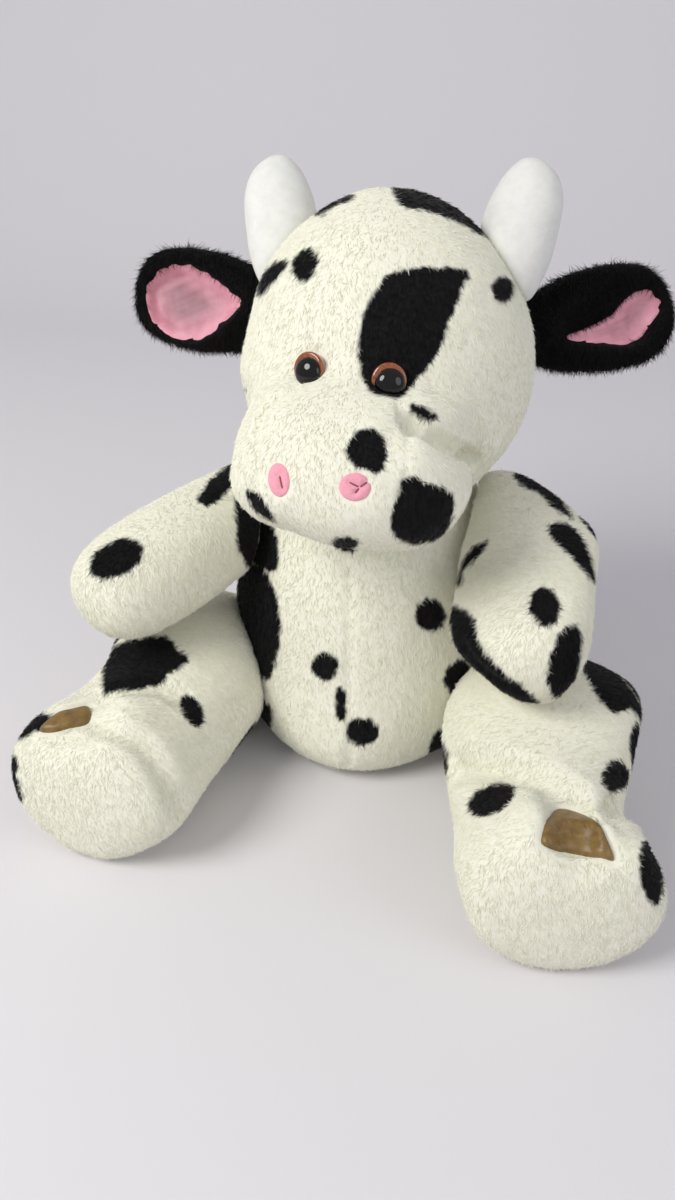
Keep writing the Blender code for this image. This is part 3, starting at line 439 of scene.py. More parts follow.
SATIN = mottled(
    "gold_brown_satin", (0.22, 0.14, 0.05), 0.4, (260.0, 3.0), (0.3, 0.7), (0.15, 0.088, 0.024),
    (0.27, 0.165, 0.048), ((1500.0, 2.0), 0.00015, 0.4), Sheen_Weight=0.1, Sheen_Roughness=0.3,
    Anisotropic=0.5,
)
IRIS = mottled(
    "amber_plastic", (0.28, 0.075, 0.025), 0.12, (700.0, 3.0), (0.35, 0.65), (0.20, 0.045, 0.014),
    (0.34, 0.10, 0.035), Coat_Weight=0.8, Coat_Roughness=0.05,
)
PUPIL = mottled(
    "black_plastic", (0.004, 0.0035, 0.003), 0.04, (500.0, 2.0), (0.3, 0.8), (0.003, 0.003, 0.003),
    (0.007, 0.005, 0.004), Specular_IOR_Level=0.45,
)
NYLON = mottled(
    "clear_nylon", (0.80, 0.80, 0.78), 0.4, (300.0, 2.0), (0.3, 0.7), (0.74, 0.74, 0.71), (0.84, 0.84, 0.82)
)
STITCH, WHITE_THREAD = (
    mottled(name, light, 0.8, (2200.0, 2.0), (0.35, 0.65), dark, light, ((2200.0, 2.0), 0.0002, 0.6))
    for name, dark, light in (
        ("dark_pink_thread", (0.20, 0.045, 0.06), (0.36, 0.10, 0.13)),
        ("white_thread", (0.70, 0.66, 0.56), (0.88, 0.85, 0.76)),
    )
)


def lining_material():
    """Pink cloth with painted fold shade, and painted shade where the "deep" value rises, towards the ear's
    root.
    """
    made, tree, surface = shader(
        "pink_lining", (0.72, 0.32, 0.40), 0.6, Sheen_Weight=0.15, Sheen_Roughness=0.35
    )
    # Painted shade of folds: lighter and darker pink in random patches about a centimetre across.
    folds = noise(tree, 90.0, 3.0)
    lit = ramp(tree, folds, 0.35, 0.65, (0.68, 0.28, 0.36), (0.78, 0.37, 0.45))
    painted_shade_colour = ramp(tree, folds, 0.35, 0.65, (0.34, 0.17, 0.20), (0.40, 0.21, 0.25))
    # Painted shade in the cup: the "deep" value mixes in the darker mauve.
    deep = tree.nodes.new("ShaderNodeAttribute")
    deep.attribute_name = "deep"
    tree.links.new(mixed(tree, deep.outputs["Fac"], lit, painted_shade_colour), surface.inputs["Base Color"])
    bump(tree, surface, noise(tree, 1800.0, 2.0), 0.0002, 0.5)
    return made


LINING = lining_material()


def placed(name, data):
    """A new object in the scene."""
    made = bpy.data.objects.new(name, data)
    bpy.context.scene.collection.objects.link(made)
    return made


def valued(mesh, name, values):
    """A number at each point of the mesh, which its material reads."""
    held = mesh.attributes.new(name, "FLOAT", "POINT")
    held.data.foreach_set("value", values.astype(np.float32))


def sewn_on(made, body, slot, *nodes):
    """The object rides on the body and replaces its solids."""
    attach(made, body)
    if nodes:
        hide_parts(*nodes)


def piece(form, name, body, material, slot, nodes, spots=None):
    """The form as a filled soft piece that rides on the body and replaces its solids."""
    form.write()
    if spots is not None:
        valued(form.mesh, "spot", spots)
    form.mesh.materials.clear()
    form.mesh.materials.append(material)
    form.mesh.shade_smooth()
    made = placed(name, form.mesh)
    sewn_on(made, body, slot, *nodes)


def made_of(bm, name, material):
    """The finished mesh as an object."""
    bmesh.ops.recalc_face_normals(bm, faces=bm.faces)
    mesh = bpy.data.meshes.new(name)
    bm.to_mesh(mesh)
    bm.free()
    mesh.shade_smooth()
    mesh.materials.append(material)
    return placed(name, mesh)


def circle(bm, centre, facing, radius, count, height=0.0):
    """A ring of points round the centre's axis, at that height along it."""
    turn = facing.to_track_quat("Z", "Y").to_matrix()
    ring = []
    for k in range(count):
        a = 2 * math.pi * k / count
        spoke = Vector((radius * math.cos(a), radius * math.sin(a), height))
        ring.append(bm.verts.new(centre + turn @ spoke))
    return ring


def ringed(bm, rings):
    """Faces between each ring of points and the next. A ring of one point is a tip."""
    for lower, upper in zip(rings, rings[1:]):
        for k in range(max(len(lower), len(upper))):
            corners = [
                lower[k % len(lower)],
                lower[(k + 1) % len(lower)],
                upper[(k + 1) % len(upper)],
                upper[k % len(upper)],
            ]
            bm.faces.new(list(dict.fromkeys(corners)))


def turned(name, profile, centre, facing, material, segments=48):
    """A solid of revolution: (radius, height) pairs from its middle underneath to its middle on top."""
    bm = bmesh.new()
    rings = [
        circle(bm, centre, facing, radius, segments if radius else 1, height) for radius, height in profile
    ]
    ringed(bm, rings)
    return made_of(bm, name, material)


def patch(name, tree, line, lift, sink, material, rings, shape=None):
    """A thin closed pad laid over the form inside an outline that the camera sees. Its rim is tucked in."""
    centre = line.mean(0)
    bm = bmesh.new()
    tops, bottoms = [], []
    for ring in range(rings + 1):
        share = ring / rings
        height = lift * math.sqrt(1.0 - share**4) - 0.4 * sink * share**6
        top_row, bottom_row = [], []
        for corner in line if ring else line[:1]:
            spot, reach = None, share
            while spot is None:
                at = centre + (corner - centre) * reach
                spot, normal, _, _ = tree.ray_cast(EYE, sight(*at))
                reach *= DRAW_IN
            top = height if shape is None else height + shape(at)
            top_row.append(bm.verts.new(spot + normal * top))
            bottom_row.append(bm.verts.new(spot - normal * sink))
        tops.append(top_row)
        bottoms.append(bottom_row)
    ringed(bm, tops)
    ringed(bm, bottoms)
    ringed(bm, [tops[-1], bottoms[-1]])
    return made_of(bm, name, material)


def thread(name, lines, radius, material, sides=8):
    """Stitches: each line of points is a closed round tube with tapered ends."""
    bm = bmesh.new()
    for line in lines:
        rings = []
        for k, at in enumerate(line):
            run = (line[min(k + 1, len(line) - 1)] - line[max(k - 1, 0)]).normalized()
            thin = THREAD_TAPER if k in (0, len(line) - 1) else 1.0
            rings.append(circle(bm, at, run, radius * thin, sides))
        ringed(bm, rings)
        bm.faces.new(rings[0])
        bm.faces.new(rings[-1])
    return made_of(bm, name, material)


def base(nodes, coarse=0.0024, rounds=10, hulls=(), over=0.0006):
    """The solids' common outer form, smoothed, and a little over them."""
    form = Form(joined(nodes, hulls))
    form.remesh(coarse)
    form.relax(rounds)
    form.swell(over)
    return form


def pulled(form, name):
    """The form with its pulls."""
    for x, y, across, down, radius in PULLS.get(name, ()):
        form.pull(x, y, across, down, radius)


def folded(form, name):
    """The form with its folds, and the surface that it had before them."""
    skin = form.tree()
    for path, width, depth in FOLDS.get(name, ()):
        form.groove(on_form(skin, path), width, depth)
    return skin


def bare(points, normals, lines):
    """0 where the camera sees a point inside one of the outlines, and 1 a few pixels outside them."""
    pixels, _ = seen_at(points)
    share = np.ones(len(points))
    for line in lines:
        share = np.minimum(share, np.clip(-inside_by(pixels, line) / 3.0, 0.0, 1.0))
    return np.where(squarely(points, normals) > 0.0, share, 1.0)


def furred(form, tall, seed, bald=()):
    """The pile raised on the form, but not inside the bald outlines."""
    raised = 0.5 + 0.20 * grain(form.points, 0.0070, seed)
    raised += 0.18 * grain(form.points * LIE_SQUASH, 0.0017, seed + 1)
    raised *= bare(form.points, form.normals(), bald)
    form.swell(tall * raised)
    form.points[:, 2] = np.maximum(form.points[:, 2], PILE_LOWEST)


def hairs(form, name, body, slot, material, black, count, long, seed, bald=(), stand=(0.07, 0.20)):
    """The ends of the pile: closed spikes that lie along the form, each of the colour at its root."""
    random = np.random.default_rng(seed)
    count = min(count // (1), len(form.points))
    roots = random.permutation(len(form.points))[:count]
    points = form.points[roots] + random.uniform(-HAIR_SCATTER, HAIR_SCATTER, (count, 3))
    normals = form.normals()
    even = np.einsum("ij,ij->i", normals, form.averaged(normals))[roots] > EVEN_ENOUGH
    normals = normals[roots]
    kept = even & (bare(points, normals, bald) > 0.5) & (points[:, 2] > LOWEST_ROOT)
    points, normals, black = points[kept], normals[kept], black[roots][kept]
    count = len(points)
    down = np.array(LIE) - (normals @ np.array(LIE))[:, None] * normals
    down /= np.linalg.norm(down, axis=1)[:, None] + 1e-9
    across = np.cross(normals, down)
    turn = random.normal(0.0, 0.42, (count, 1)) + 0.45 * grain(points, 0.014, seed + 1)[:, None]
    run = down * np.cos(turn) + across * np.sin(turn)
    across = np.cross(normals, run)
    reach = long * random.uniform(0.6, 1.15, (count, 1))
    rise = random.uniform(*stand, (count, 1))
    rise *= np.where(random.uniform(0.0, 1.0, (count, 1)) < RAISED_SHARE, RAISED_TIMES, 1.0)
    foot = points - normals * HAIR_DEPTH
    wide = HAIR * random.uniform(0.7, 1.3, (count, 1))
    corners = np.stack(
        [
            foot - across * wide,
            foot + across * wide,
            foot + normals * (wide * 0.3 + HAIR_DEPTH) - run * wide,
            points + run * reach * np.cos(rise) + normals * reach * np.sin(rise),
        ],
        1,
    ).reshape(-1, 3)
    corners[:, 2] = np.maximum(corners[:, 2], PILE_LOWEST)
    sides = np.array([(0, 1, 2), (0, 3, 1), (1, 3, 2), (2, 3, 0)])
    faces = (sides[None] + 4 * np.arange(count)[:, None, None]).reshape(-1, 3)
    mesh = bpy.data.meshes.new(name)
    mesh.from_pydata(corners.tolist(), [], faces.tolist())
    mesh.update()
    valued(mesh, "spot", np.repeat(black, 4))
    mesh.materials.append(material)
    sewn_on(placed(name, mesh), body, slot)


# Spots, as outlines in the photograph's pixels, and balls (x, y, z, radius) where it doesn't reach.
HEAD_SPOTS = [
    oval(306, 265, 24, 34, 20),
    [(365, 385), (358, 350), (362, 320), (370, 300), (385, 278), (400, 270), (430, 267), (467, 272),
     (462, 290), (448, 325), (440, 350), (425, 370), (412, 385), (405, 395), (395, 399), (375, 394)],
    oval(502, 290, 24, 25, 0),
    [(394, 186), (430, 186), (462, 200), (486, 236), (474, 233), (455, 222), (425, 212), (400, 206)],
    [(316, 214), (330, 200), (352, 194), (354, 200), (338, 206), (322, 216)],
    [(258, 296), (262, 276), (276, 262), (290, 262), (280, 276), (268, 290)],
    oval(243, 390, 6, 8, 0),
    oval(424, 413, 30, 12, 25),
    [(346, 455), (350, 438), (362, 430), (377, 431), (385, 445), (386, 462), (376, 472), (360, 468)],
    [(391, 527), (392, 508), (398, 494), (402, 481), (412, 476), (424, 482), (440, 485), (452, 497),
     (453, 512), (447, 530), (432, 542), (408, 543), (396, 538)],
    [(246, 490), (256, 492), (267, 504), (275, 519), (263, 516), (251, 505)],
    oval(345, 543, 26, 14),
]
HEAD_BALLS = [
    (0.040, 0.068, 0.262, 0.026), (-0.030, 0.050, 0.215, 0.020), (0.078, 0.026, 0.205, 0.017),
    (-0.058, 0.036, 0.262, 0.015), (0.008, 0.025, 0.165, 0.016), (-0.066, -0.004, 0.205, 0.013),
]
TORSO_SPOTS = [
    oval(430, 614, 31, 33, 0),
    oval(325, 666, 26, 28, 0),
    oval(341, 704, 11, 34, 0),
    oval(362, 731, 34, 28, 0),
    [(240, 565), (262, 566), (276, 590), (281, 620), (279, 650), (270, 680), (256, 668), (248, 640),
     (238, 610)],
    oval(251, 673, 19, 34, 0),
    [(243, 700), (262, 697), (272, 712), (270, 730), (258, 738), (246, 752), (236, 768), (240, 735)],
    oval(457, 676, 26, 36, 20),
    [(430, 738), (446, 732), (450, 760), (444, 792), (432, 786)],
    [(334, 536), (360, 538), (354, 552), (340, 550)],
    [(236, 470), (262, 500), (279, 540), (276, 570), (250, 560), (238, 520)],
]
TORSO_BALLS = [
    (0.030, 0.078, 0.120, 0.027), (-0.040, 0.066, 0.080, 0.023), (-0.030, 0.058, 0.150, 0.016),
    (0.070, 0.042, 0.060, 0.020), (-0.082, 0.010, 0.100, 0.020), (0.006, 0.078, 0.030, 0.015),
]
RIGHT_ARM_SPOTS = [
    oval(117, 559, 58, 34, -28),
    [(197, 500), (212, 480), (234, 464), (238, 478), (228, 492), (210, 506)],
    [(236, 488), (258, 492), (280, 512), (279, 545), (262, 568), (243, 562), (236, 535)],
    [(162, 636), (178, 622), (196, 611), (194, 620), (180, 632), (168, 640)],
]
RIGHT_ARM_BALLS = [(-0.080, 0.000, 0.160, 0.015), (-0.110, -0.030, 0.105, 0.013)]
LEFT_ARM_SPOTS = [
    [(449, 606), (454, 640), (464, 668), (482, 692), (510, 703), (540, 704), (522, 684), (505, 672),
     (490, 656), (480, 640), (474, 618), (462, 608)],
    oval(545, 607, 30, 40, -10),
    oval(564, 660, 30, 74, 12),
    [(514, 474), (536, 478), (556, 494), (572, 520), (556, 512), (540, 496), (520, 486)],
    [(548, 528), (566, 524), (582, 540), (592, 570), (592, 582), (572, 560), (556, 545)],
    [(460, 572), (466, 558), (478, 544), (490, 542), (484, 552), (470, 566)],
    oval(461, 578, 6, 18, 10),
]
LEFT_ARM_BALLS = [(0.118, -0.030, 0.145, 0.014), (0.090, -0.060, 0.095, 0.012)]
LEFT_LEG_SPOTS = [
    [(582, 666), (594, 645), (614, 668), (640, 704), (640, 722), (630, 710), (612, 713), (594, 694)],
    oval(614, 776, 27, 32, 10),
    [(470, 806), (480, 790), (500, 785), (516, 790), (508, 806), (490, 817), (474, 816)],
    [(638, 852), (648, 840), (662, 862), (660, 900), (648, 900), (640, 880)],
    [(430, 760), (440, 740), (448, 752), (446, 790), (436, 796)],
]
LEFT_LEG_BALLS = [
    (0.162, -0.047, 0.062, 0.020), (0.150, -0.090, 0.055, 0.019), (0.120, -0.040, 0.030, 0.016),
    (0.060, -0.120, 0.020, 0.012),
]
RIGHT_LEG_SPOTS = [
    [(103, 694), (106, 665), (118, 645), (142, 640), (166, 637), (178, 650), (188, 661), (166, 677),
     (155, 687), (118, 691)],
    oval(191, 710, 20, 36, -25),
    [(20, 726), (32, 714), (52, 716), (44, 728), (30, 736), (18, 740)],
    oval(14, 765, 10, 22, 0),
    oval(18, 806, 6, 8, 0),
]
RIGHT_LEG_BALLS = [
    (-0.130, -0.060, 0.060, 0.021), (-0.090, -0.010, 0.050, 0.015), (-0.160, -0.150, 0.040, 0.016),
    (-0.060, -0.080, 0.018, 0.014),
]

# Where a form swells or draws in: a pixel, how far it moves across and down, and within what radius.
PULLS = {
    "head_pile": [
        (430, 535, 3, 11, 55), (290, 524, 2, -7, 36), (262, 505, 3, 5, 30), (225, 455, 8, 0, 30),
        (238, 325, 9, 0, 50), (238, 402, 6, 0, 26),
    ],
    "left_arm_pile": [
        (572, 530, 30, -2, 50), (458, 635, -22, 6, 40), (605, 650, -14, -2, 45), (585, 690, -8, -6, 30),
    ],
    "left_leg_pile": [
        (440, 905, 6, -4, 42), (645, 862, -15, 0, 36), (560, 800, 0, -6, 34), (626, 712, 14, 0, 30),
        (610, 682, 20, -2, 36), (640, 818, -20, 0, 26), (636, 785, -8, 0, 26),
    ],
    "right_leg_pile": [(88, 666, 14, 2, 34), (130, 692, 0, -7, 34), (150, 862, 0, -7, 40)],
}
# Folds and seams: lines that the camera sees, each with its width and depth. A negative depth is a ridge.
FOLDS = {
    "head_pile": [
        ([(424, 462), (440, 474), (458, 488), (468, 504)], 0.020, -0.0040),
        ([(430, 408), (452, 418), (476, 432), (492, 444)], 0.016, -0.0026),
        ([(412, 424), (430, 436), (450, 450), (470, 464), (490, 480)], 0.009, 0.0085),
        ([(398, 404), (404, 425), (408, 445), (406, 475), (400, 500)], 0.004, 0.0014),
        ([(296, 384), (276, 398), (262, 412), (257, 440), (255, 470), (252, 490)], 0.005, 0.0026),
    ],
    "torso_pile": [([(349, y) for y in range(560, 772, 12)], 0.0050, 0.0013)],
    "left_leg_pile": [
        ([(452, 768), (480, 765), (500, 767), (540, 776), (580, 795), (602, 804), (616, 808)], 0.013, 0.0080),
        ([(560, 800), (572, 815), (580, 835), (584, 856)], 0.016, 0.0056),
        ([(610, 806), (628, 830), (636, 862)], 0.014, -0.0036),
        ([(524, 812), (530, 838)], 0.014, -0.0022),
    ],
    "right_leg_pile": [
        ([(96, 722), (118, 732), (140, 742), (158, 765), (172, 790), (178, 812)], 0.011, 0.0045),
        ([(92, 700), (74, 712), (62, 724), (54, 736)], 0.016, 0.0045),
        ([(98, 695), (118, 689), (142, 686), (162, 687), (180, 698)], 0.010, 0.0045),
    ],
    "left_arm_pile": [([(452, 610), (462, 640), (478, 664), (500, 682), (520, 690)], 0.006, 0.0018)],
}
# The satin strips, by the body that carries each: the outline that the camera sees, and the strip's solid.
STRIPS = {
    "left_leg": (
        [(545, 846), (543, 834), (551, 815), (560, 807), (580, 812), (599, 822), (608, 838), (615, 860),
         (600, 858), (575, 853)],
        "hoof_strip_left",
    ),
    "right_leg": (
        [(90, 706), (74, 708), (56, 713), (38, 729), (50, 732), (70, 727), (88, 722)],
        "hoof_strip_right",
    ),
}

# The head: skull and muzzle under one pile, bridged where they meet, with the cheek's crease and the seams.
HEAD = Matrix.Translation((0.0071, -0.0127, 0.2311)) @ Matrix.Rotation(math.radians(-5.3), 4, "Z")
HEAD = HEAD @ Matrix.Rotation(math.radians(-1.0), 4, "Y") @ Matrix.Rotation(math.radians(-24.5), 4, "X")
BRIDGE = [(0.0, -0.074, -0.006), (0.0, -0.104, -0.036), (0.0, -0.030, -0.060)]
for side in (-1.0, 1.0):
    BRIDGE += [
        (side * 0.030, -0.067, -0.008), (side * 0.052, -0.050, -0.014), (side * 0.022, -0.104, -0.036),
        (side * 0.042, -0.092, -0.040), (side * 0.056, -0.068, -0.048), (side * 0.058, -0.045, -0.060),
    ]
HEAD_NODES = ("head_skin", "muzzle_skin", "head_stuffing")
head = base(HEAD_NODES, rounds=6, hulls=[[HEAD @ Vector(corner) for corner in BRIDGE]])
x, y = seen_at(head.points)[0].T
bridge = np.clip((470.0 - y) / 50.0, 0.0, 1.0) * np.clip((y - 330.0) / 40.0, 0.0, 1.0)
bridge *= np.clip((432.0 - x) / 24.0, 0.0, 1.0) * np.clip((x - 238.0) / 20.0, 0.0, 1.0)
bridge *= head.points[:, 1] < -0.02
head.fill(rounds=160, weight=np.maximum(bridge, 0.12))
head.relax(6)
head.remesh(FINE)
head.relax(4)
pulled(head, "head_pile")
skin = folded(head, "head_pile")

# Where the eyes sit, each in a dent, and what stays clear of pile round them, in pixels.
EYES = {"right": (308.8, 369.2), "left": (389.0, 380.5)}
EYE_DENT, EYE_DENT_RADIUS, EYE_CLEAR = 0.0026, 0.0100, 25
for at in EYES.values():
    centre = on_form(skin, [at])[0]
    reach = np.linalg.norm(head.points - centre, axis=1)
    head.swell(-EYE_DENT * np.exp(-((reach / EYE_DENT_RADIUS) ** 2)))

# The nostrils: each patch's outline, and its stitches from end to end.
NOSTRILS = {
    "right": (oval(279, 480, 23, 36, -6), [[(280, 475), (283, 489)]]),
    "left": (
        oval(355, 487, 34, 30, 0),
        [[(349, 482), (359, 487)], [(367, 482), (360, 487)], [(359, 488), (355, 493)]],
    ),
}
PUCKER, PUCKER_PIXELS = 0.0009, 3.0
STITCH_LIFT, STITCH_RADIUS = 0.0006, 0.00034
head_black = spotted(head, HEAD_SPOTS, HEAD_BALLS)
head_bald = [outline(corners) for corners, _ in NOSTRILS.values()]
head_bald += [outline(oval(x, y, EYE_CLEAR, EYE_CLEAR)) for x, y in EYES.values()]
furred(head, tall=0.0007, seed=21, bald=head_bald)
hairs(
    head, "head_pile_ends", "head", "white_fur", FUR, head_black, count=47000, long=0.0032, seed=24,
    bald=head_bald,
)


def nostril(side, line, bars):
    """A felt patch, puckered along its stitches."""
    ends = [np.array(bar, float) for bar in bars]

    def pucker(at):
        reach = min(off_line(at[None], a, b)[0] for a, b in ends)
        return -PUCKER * math.exp(-((reach / PUCKER_PIXELS) ** 2))

    pad = patch(f"nostril_pad_{side}", skin, line, 0.0013, 0.0015, FELT, 16, pucker)
    sewn_on(pad, "head", "pink_felt", f"nostril_{side}")
    lines = []
    for a, b in ends:
        run = []
        for t in (0.0, 0.15, 0.35, 0.5, 0.65, 0.85, 1.0):
            spot, normal, _, _ = skin.ray_cast(EYE, sight(*(a + (b - a) * t)))
            run.append(spot + normal * (STITCH_LIFT if 0.0 < t < 1.0 else 0.0))
        lines.append(run)
    stitches = thread(f"nostril_thread_{side}", lines, STITCH_RADIUS, STITCH)
    sewn_on(stitches, "head", "brown_thread", f"nostril_stitches_{side}")


for side, (corners, bars) in NOSTRILS.items():
    nostril(side, outline(corners), bars)
piece(head, "head_pile", "head", FUR, "white_fur", HEAD_NODES, head_black)

# The eyes: an amber disc, and a domed black pupil a little low on it.
DISC = (
    (0.0, -0.0050), (0.0066, -0.0050), (0.0078, -0.0020), (0.0080, -0.0006), (0.0079, 0.0003),
    (0.0075, 0.0008), (0.0070, 0.0009), (0.0, 0.0009),
)
DISC_LIFT = 0.0002
PUPIL_RADIUS, DOME_FOOT, DOME_RISE = 0.0068, 0.0010, 0.0040
PUPIL_SHIFT = Vector((-0.0005, 0.0, 0.0013))
DOME = [(0.0, 0.0), (0.0066, 0.0), (PUPIL_RADIUS, DOME_FOOT)]
for k in range(1, 16):
    a = k * math.pi / 32
    DOME.append((PUPIL_RADIUS * math.cos(a), DOME_FOOT + DOME_RISE * math.sin(a)))
DOME.append((0.0, DOME_FOOT + DOME_RISE))
for side, at in EYES.items():
    corners = np.array([v.co for v in frame["nodes"][f"pupil_{side}"].data.vertices])
    facing = np.linalg.svd(corners - corners.mean(0))[2][2]
    facing = Vector(facing if facing[1] < 0 else -facing)
    seat = Vector(on_form(skin, [at])[0]) + facing * DISC_LIFT
    disc = turned(f"eye_disc_{side}", DISC, seat, facing, IRIS)
    sewn_on(disc, "head", "amber_plastic", f"eye_{side}")
    pupil = turned(f"pupil_dome_{side}", DOME, seat - HEAD.to_3x3() @ PUPIL_SHIFT, facing, PUPIL)
    sewn_on(pupil, "head", "black_plastic", f"pupil_{side}")
    washer = frame["nodes"][f"eye_washer_{side}"]
    washer.data.materials.clear()
    washer.data.materials.append(NYLON)

# The horns: smooth velour, fuller below the tip.
for side in ("right", "left"):
    nodes = (f"horn_{side}", f"horn_stuffing_{side}")
    horn = base(nodes, coarse=0.0018, rounds=14)
    horn.remesh(0.0012)
    horn.relax(3)
    height = horn.points[:, 2]
    tip = (height - height.min()) / (height.max() - height.min())
    tip = np.clip(tip * 2.0 - 0.9, 0.0, 1.0)
    horn.swell(0.0006 + 0.0030 * tip * np.clip(1.9 - 1.9 * tip, 0.0, 1.0))
    horn.relax(4)
    piece(horn, f"horn_velour_{side}", "head", VELOUR, "white_velour", nodes)

# The ears: long black pile round a cupped pink lining. Of each: its seed, how far its end moves along the
# camera's right, the cup's depth and the cup's outline. The left ear's upper edge folds over its lining.
EARS = {
    "right": (
        81, -0.0065, 0.0058,
        [(242, 303), (222, 326), (200, 340), (176, 340), (155, 326), (146, 303), (148, 282), (162, 268),
         (184, 263), (208, 273), (228, 288)],
    ),
    "left": (
        91, 0.0055, 0.0036,
        [(562, 337), (576, 331), (589, 326), (611, 314), (627, 297), (644, 288), (658, 296), (663, 306),
         (653, 322), (642, 337), (627, 345), (602, 344), (576, 342)],
    ),
}
EAR_RISE, LIP = 0.0048, 0.0028


def rumple(at):
    """How the lining's cloth rises and falls over the pixels."""
    return 0.0007 * math.sin(at[0] * 0.31 + at[1] * 0.22) * math.sin(at[1] * 0.27 - at[0] * 0.09)


for side, (seed, outwards, deep, corners) in EARS.items():
    ear = base((f"ear_{side}", f"ear_lining_{side}"), coarse=0.0014, rounds=6)
    ear.remesh(FINE)
    ear.relax(2)
    line = outline(corners)
    out = np.clip((np.abs(ear.points[:, 0]) - 0.070) / 0.06, 0.0, 1.0)[:, None]
    ear.points = ear.points + out * np.array(RIGHT * outwards + UP * EAR_RISE)
    pixels, _ = seen_at(ear.points)
    front = squarely(ear.points, ear.normals()) > 0.1
    within = inside_by(pixels, line)
    cup = np.clip((within + 2.0) / 14.0, 0.0, 1.0) * front
    lip = np.exp(-(((within + 5.0) / 9.0) ** 2)) * front
    if side == "left":
        flap = np.clip((326.0 - 0.62 * (pixels[:, 0] - 585.0) - pixels[:, 1]) / 10.0, 0.0, 1.0)
        lip = np.maximum(lip * 0.5, np.clip((6.0 - within) / 8.0, 0.0, 1.0) * flap * front * 1.6)
    ear.points = ear.points + to_camera(ear.points) * (LIP * lip - deep * cup)[:, None]
    ear.relax(2)
    skin = ear.tree()
    lining = patch(f"ear_lining_cloth_{side}", skin, line, 0.0014, 0.0012, LINING, 22, rumple)
    pixels, _ = seen_at(np.array([v.co for v in lining.data.vertices]))
    # The "deep" value is painted shade: it rises inwards from the lining's outline and darkens the cloth.
    valued(lining.data, "deep", np.clip((inside_by(pixels, line) - 5.0) / 22.0, 0.0, 1.0))
    sewn_on(lining, f"{side}_ear", "pink_cloth", f"ear_lining_{side}")
    furred(ear, tall=0.0014, seed=seed, bald=[line])
    black = np.ones(len(ear.points))
    hairs(
        ear, f"ear_pile_ends_{side}", f"{side}_ear", "black_fur", EAR_FUR, black, count=24000, long=0.0062,
        seed=seed + 2, bald=[line], stand=(0.15, 0.45),
    )
    piece(ear, f"ear_pile_{side}", f"{side}_ear", EAR_FUR, "black_fur", (f"ear_{side}",), black)

# The neck, between head and torso.
neck = base(("neck_stuffing",), coarse=0.0018, rounds=4)
neck.remesh(FINE)
furred(neck, tall=0.0008, seed=101)
piece(neck, "neck_pile", "neck", FUR, "polyester_fibre", ("neck_stuffing",), np.zeros(len(neck.points)))

# The tail and its black tuft.
for name, ends, nodes, slot, material, dark, tall, long, seed in (
    ("tail_pile", "tail_pile_ends", ("tail", "tail_stuffing"), "white_fur", FUR, 0.0, 0.0010, 0.0030, 111),
    ("tail_tuft_pile", "tail_tuft_ends", ("tail_tuft",), "black_fur", EAR_FUR, 1.0, 0.0014, 0.0060, 121),
):
    tail = base(nodes, coarse=0.0015, rounds=4)
    tail.remesh(FINE)
    furred(tail, tall, seed)
    black = np.full(len(tail.points), dark)
    hairs(tail, ends, "tail", slot, material, black, count=4000, long=long, seed=seed + 2)
    piece(tail, name, "tail", material, slot, nodes, black)

# The torso: its lower front swells, and a seam runs down its front.
TORSO_NODES = ("body_skin", "body_stuffing")
torso = base(TORSO_NODES)
torso.remesh(FINE)
x, y, z = torso.points.T
belly = 0.013 * np.exp(-((x / 0.055) ** 2) - ((z - 0.015) / 0.038) ** 2)
torso.points[:, 1] = y - belly * np.clip(-y / 0.03, 0.0, 1.0)
torso.relax(4)
skin = folded(torso, "torso_pile")


def on_back(x, z):
    """Where a line from behind meets the torso, and the surface's normal there."""
    spot, normal, _, _ = skin.ray_cast(Vector((x, 1.0, z)), Vector((0.0, -1.0, 0.0)))
    return spot, normal


# The seam in the back, and the ladder stitches that close it: rungs that lean to either side by turns.
RUNGS, LOWEST_RUNG, RUNG_GAP, LEAN = 7, 0.0865, 0.0072, 0.0011
RUNG_HALF, LADDER_RADIUS = 0.0030, 0.0005
torso.groove([on_back(0.0, z)[0] for z in np.arange(0.010, 0.165, 0.006)], 0.0045, 0.0016)
ladder = []
for k in range(RUNGS):
    z, lean = LOWEST_RUNG + RUNG_GAP * k, LEAN * (-1) ** k
    rung = []
    for share, lift in (
        (-1.0, -0.0012), (-0.8, 0.0010), (-0.4, 0.0010), (0.0, 0.0004), (0.4, 0.0010), (0.8, 0.0010),
        (1.0, -0.0012),
    ):
        spot, normal = on_back(RUNG_HALF * share, z + lean * share)
        rung.append(spot + normal * lift)
    ladder.append(rung)
stitches = thread("back_ladder_stitches", ladder, LADDER_RADIUS, WHITE_THREAD)
sewn_on(stitches, "body", "white_thread", "closing_thread")
torso_black = spotted(torso, TORSO_SPOTS, TORSO_BALLS)
furred(torso, tall=0.0010, seed=31)
hairs(torso, "torso_pile_ends", "body", "white_fur", FUR, torso_black, count=47000, long=0.0034, seed=33)
piece(torso, "torso_pile", "body", FUR, "white_fur", TORSO_NODES, torso_black)

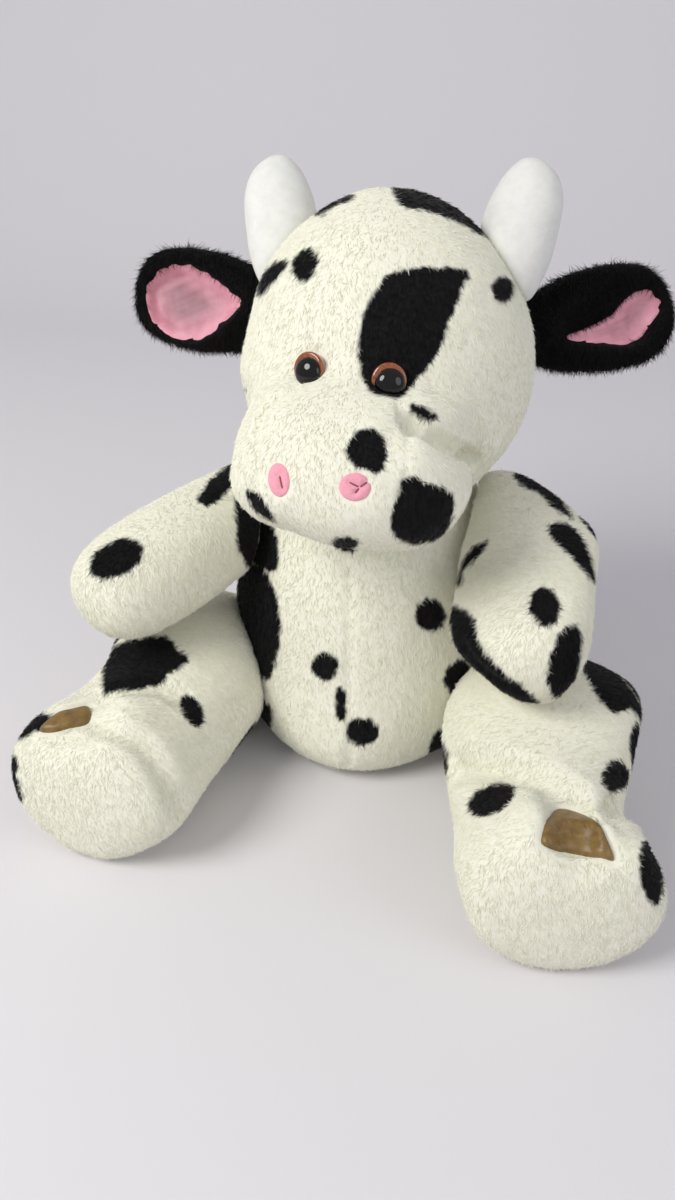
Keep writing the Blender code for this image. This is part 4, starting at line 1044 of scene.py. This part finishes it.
# The arms and legs: the body, the solids, the spots and balls, the number of hairs and the seed of each.
STRIP_LIFT, STRIP_SINK, STRIP_CLEAR = 0.0020, 0.0030, 0.16
RIM_WIDTH, RIM_DEPTH = 0.0050, 0.0016
LIMBS = {
    "right_arm": (("arm_right", "arm_stuffing_right"), RIGHT_ARM_SPOTS, RIGHT_ARM_BALLS, 24000, 41),
    "left_arm": (("arm_left", "arm_stuffing_left"), LEFT_ARM_SPOTS, LEFT_ARM_BALLS, 24000, 51),
    "right_leg": (
        ("leg_right", "sole_right", "leg_stuffing_right"), RIGHT_LEG_SPOTS, RIGHT_LEG_BALLS, 42000, 61
    ),
    "left_leg": (("leg_left", "sole_left", "leg_stuffing_left"), LEFT_LEG_SPOTS, LEFT_LEG_BALLS, 42000, 71),
}
for body, (nodes, drawn, balls, count, seed) in LIMBS.items():
    name = f"{body}_pile"
    limb = base(nodes)
    limb.remesh(FINE)
    pulled(limb, name)
    limb.relax(4)
    folded(limb, name)
    bald = []
    if body in STRIPS:
        corners, node_name = STRIPS[body]
        skin = limb.tree()
        line = outline(corners)
        strip = patch(f"{body[:-4]}_satin_strip", skin, line, STRIP_LIFT, STRIP_SINK, SATIN, 14)
        sewn_on(strip, body, "tan_satin", node_name)
        limb.groove(on_form(skin, list(line) + [line[0]]), RIM_WIDTH, RIM_DEPTH)
        limb.relax(2)
        bald = [line]
    black = spotted(limb, drawn, balls)
    furred(limb, tall=0.0010, seed=seed, bald=bald)
    clear = [line + (line - line.mean(0)) * STRIP_CLEAR for line in bald]
    hairs(limb, f"{name}_ends", body, "white_fur", FUR, black, count, long=0.0034, seed=seed + 3, bald=clear)
    piece(limb, name, body, FUR, "white_fur", nodes, black)

# The floor, which bends up behind into a wall.
FLOOR_HALF, FLOOR_BACK, WALL_HEIGHT, BEND, FLOOR_DROP = 3.0, 0.75, 2.4, 0.4, 0.0003
FLOOR, _, _ = shader("pale_floor", (0.76, 0.74, 0.77), 0.9)
bm = bmesh.new()
rows = [(-FLOOR_HALF, 0.0), (FLOOR_BACK, 0.0)]
for k in range(1, 13):
    a = k * math.pi / 24
    rows.append((FLOOR_BACK + BEND * math.sin(a), BEND * (1 - math.cos(a))))
rows.append((FLOOR_BACK + BEND, WALL_HEIGHT))
strips = [[bm.verts.new((x, y, z - FLOOR_DROP)) for x in (-FLOOR_HALF, FLOOR_HALF)] for y, z in rows]
for lower, upper in zip(strips, strips[1:]):
    bm.faces.new((lower[0], lower[1], upper[1], upper[0]))
floor_mesh = bpy.data.meshes.new("floor")
bm.to_mesh(floor_mesh)
bm.free()
floor_mesh.shade_smooth()
floor_mesh.materials.append(FLOOR)
placed("floor", floor_mesh)

# The camera.
lens = bpy.data.cameras.new("camera")
lens.lens = FOCAL / PHOTO[1] * FILM_WIDTH
lens.sensor_width = FILM_WIDTH
lens.clip_start = NEAREST_SEEN
camera = placed("camera", lens)
camera.matrix_world = Matrix.Translation(EYE) @ Matrix((RIGHT, UP, -LOOK)).transposed().to_4x4()
bpy.context.scene.camera = camera


def lamp(name, place, size, watts, colour):
    """A round lamp that shines on the toy's middle."""
    data = bpy.data.lights.new(name, "AREA")
    data.shape = "DISK"
    data.size = size
    data.energy = watts
    data.color = colour
    made = placed(name, data)
    turn = (Vector(place) - Vector(LAMPS_AIM)).to_track_quat("Z", "Y")
    made.matrix_world = Matrix.Translation(place) @ turn.to_matrix().to_4x4()


LAMPS_AIM = (0.0, -0.05, 0.15)
lamp("key", (-0.9, -0.9, 1.2), 0.8, 18.0, (1.0, 0.99, 0.94))
lamp("fill", (1.2, -0.7, 0.8), 1.0, 4.0, (0.96, 0.97, 1.0))
world = bpy.data.worlds.new("studio")
world.use_nodes = True
world.node_tree.nodes["Background"].inputs["Color"].default_value = (0.95, 0.95, 1.0, 1.0)
world.node_tree.nodes["Background"].inputs["Strength"].default_value = 0.45
bpy.context.scene.world = world
bpy.context.scene.view_settings.view_transform = "Standard"
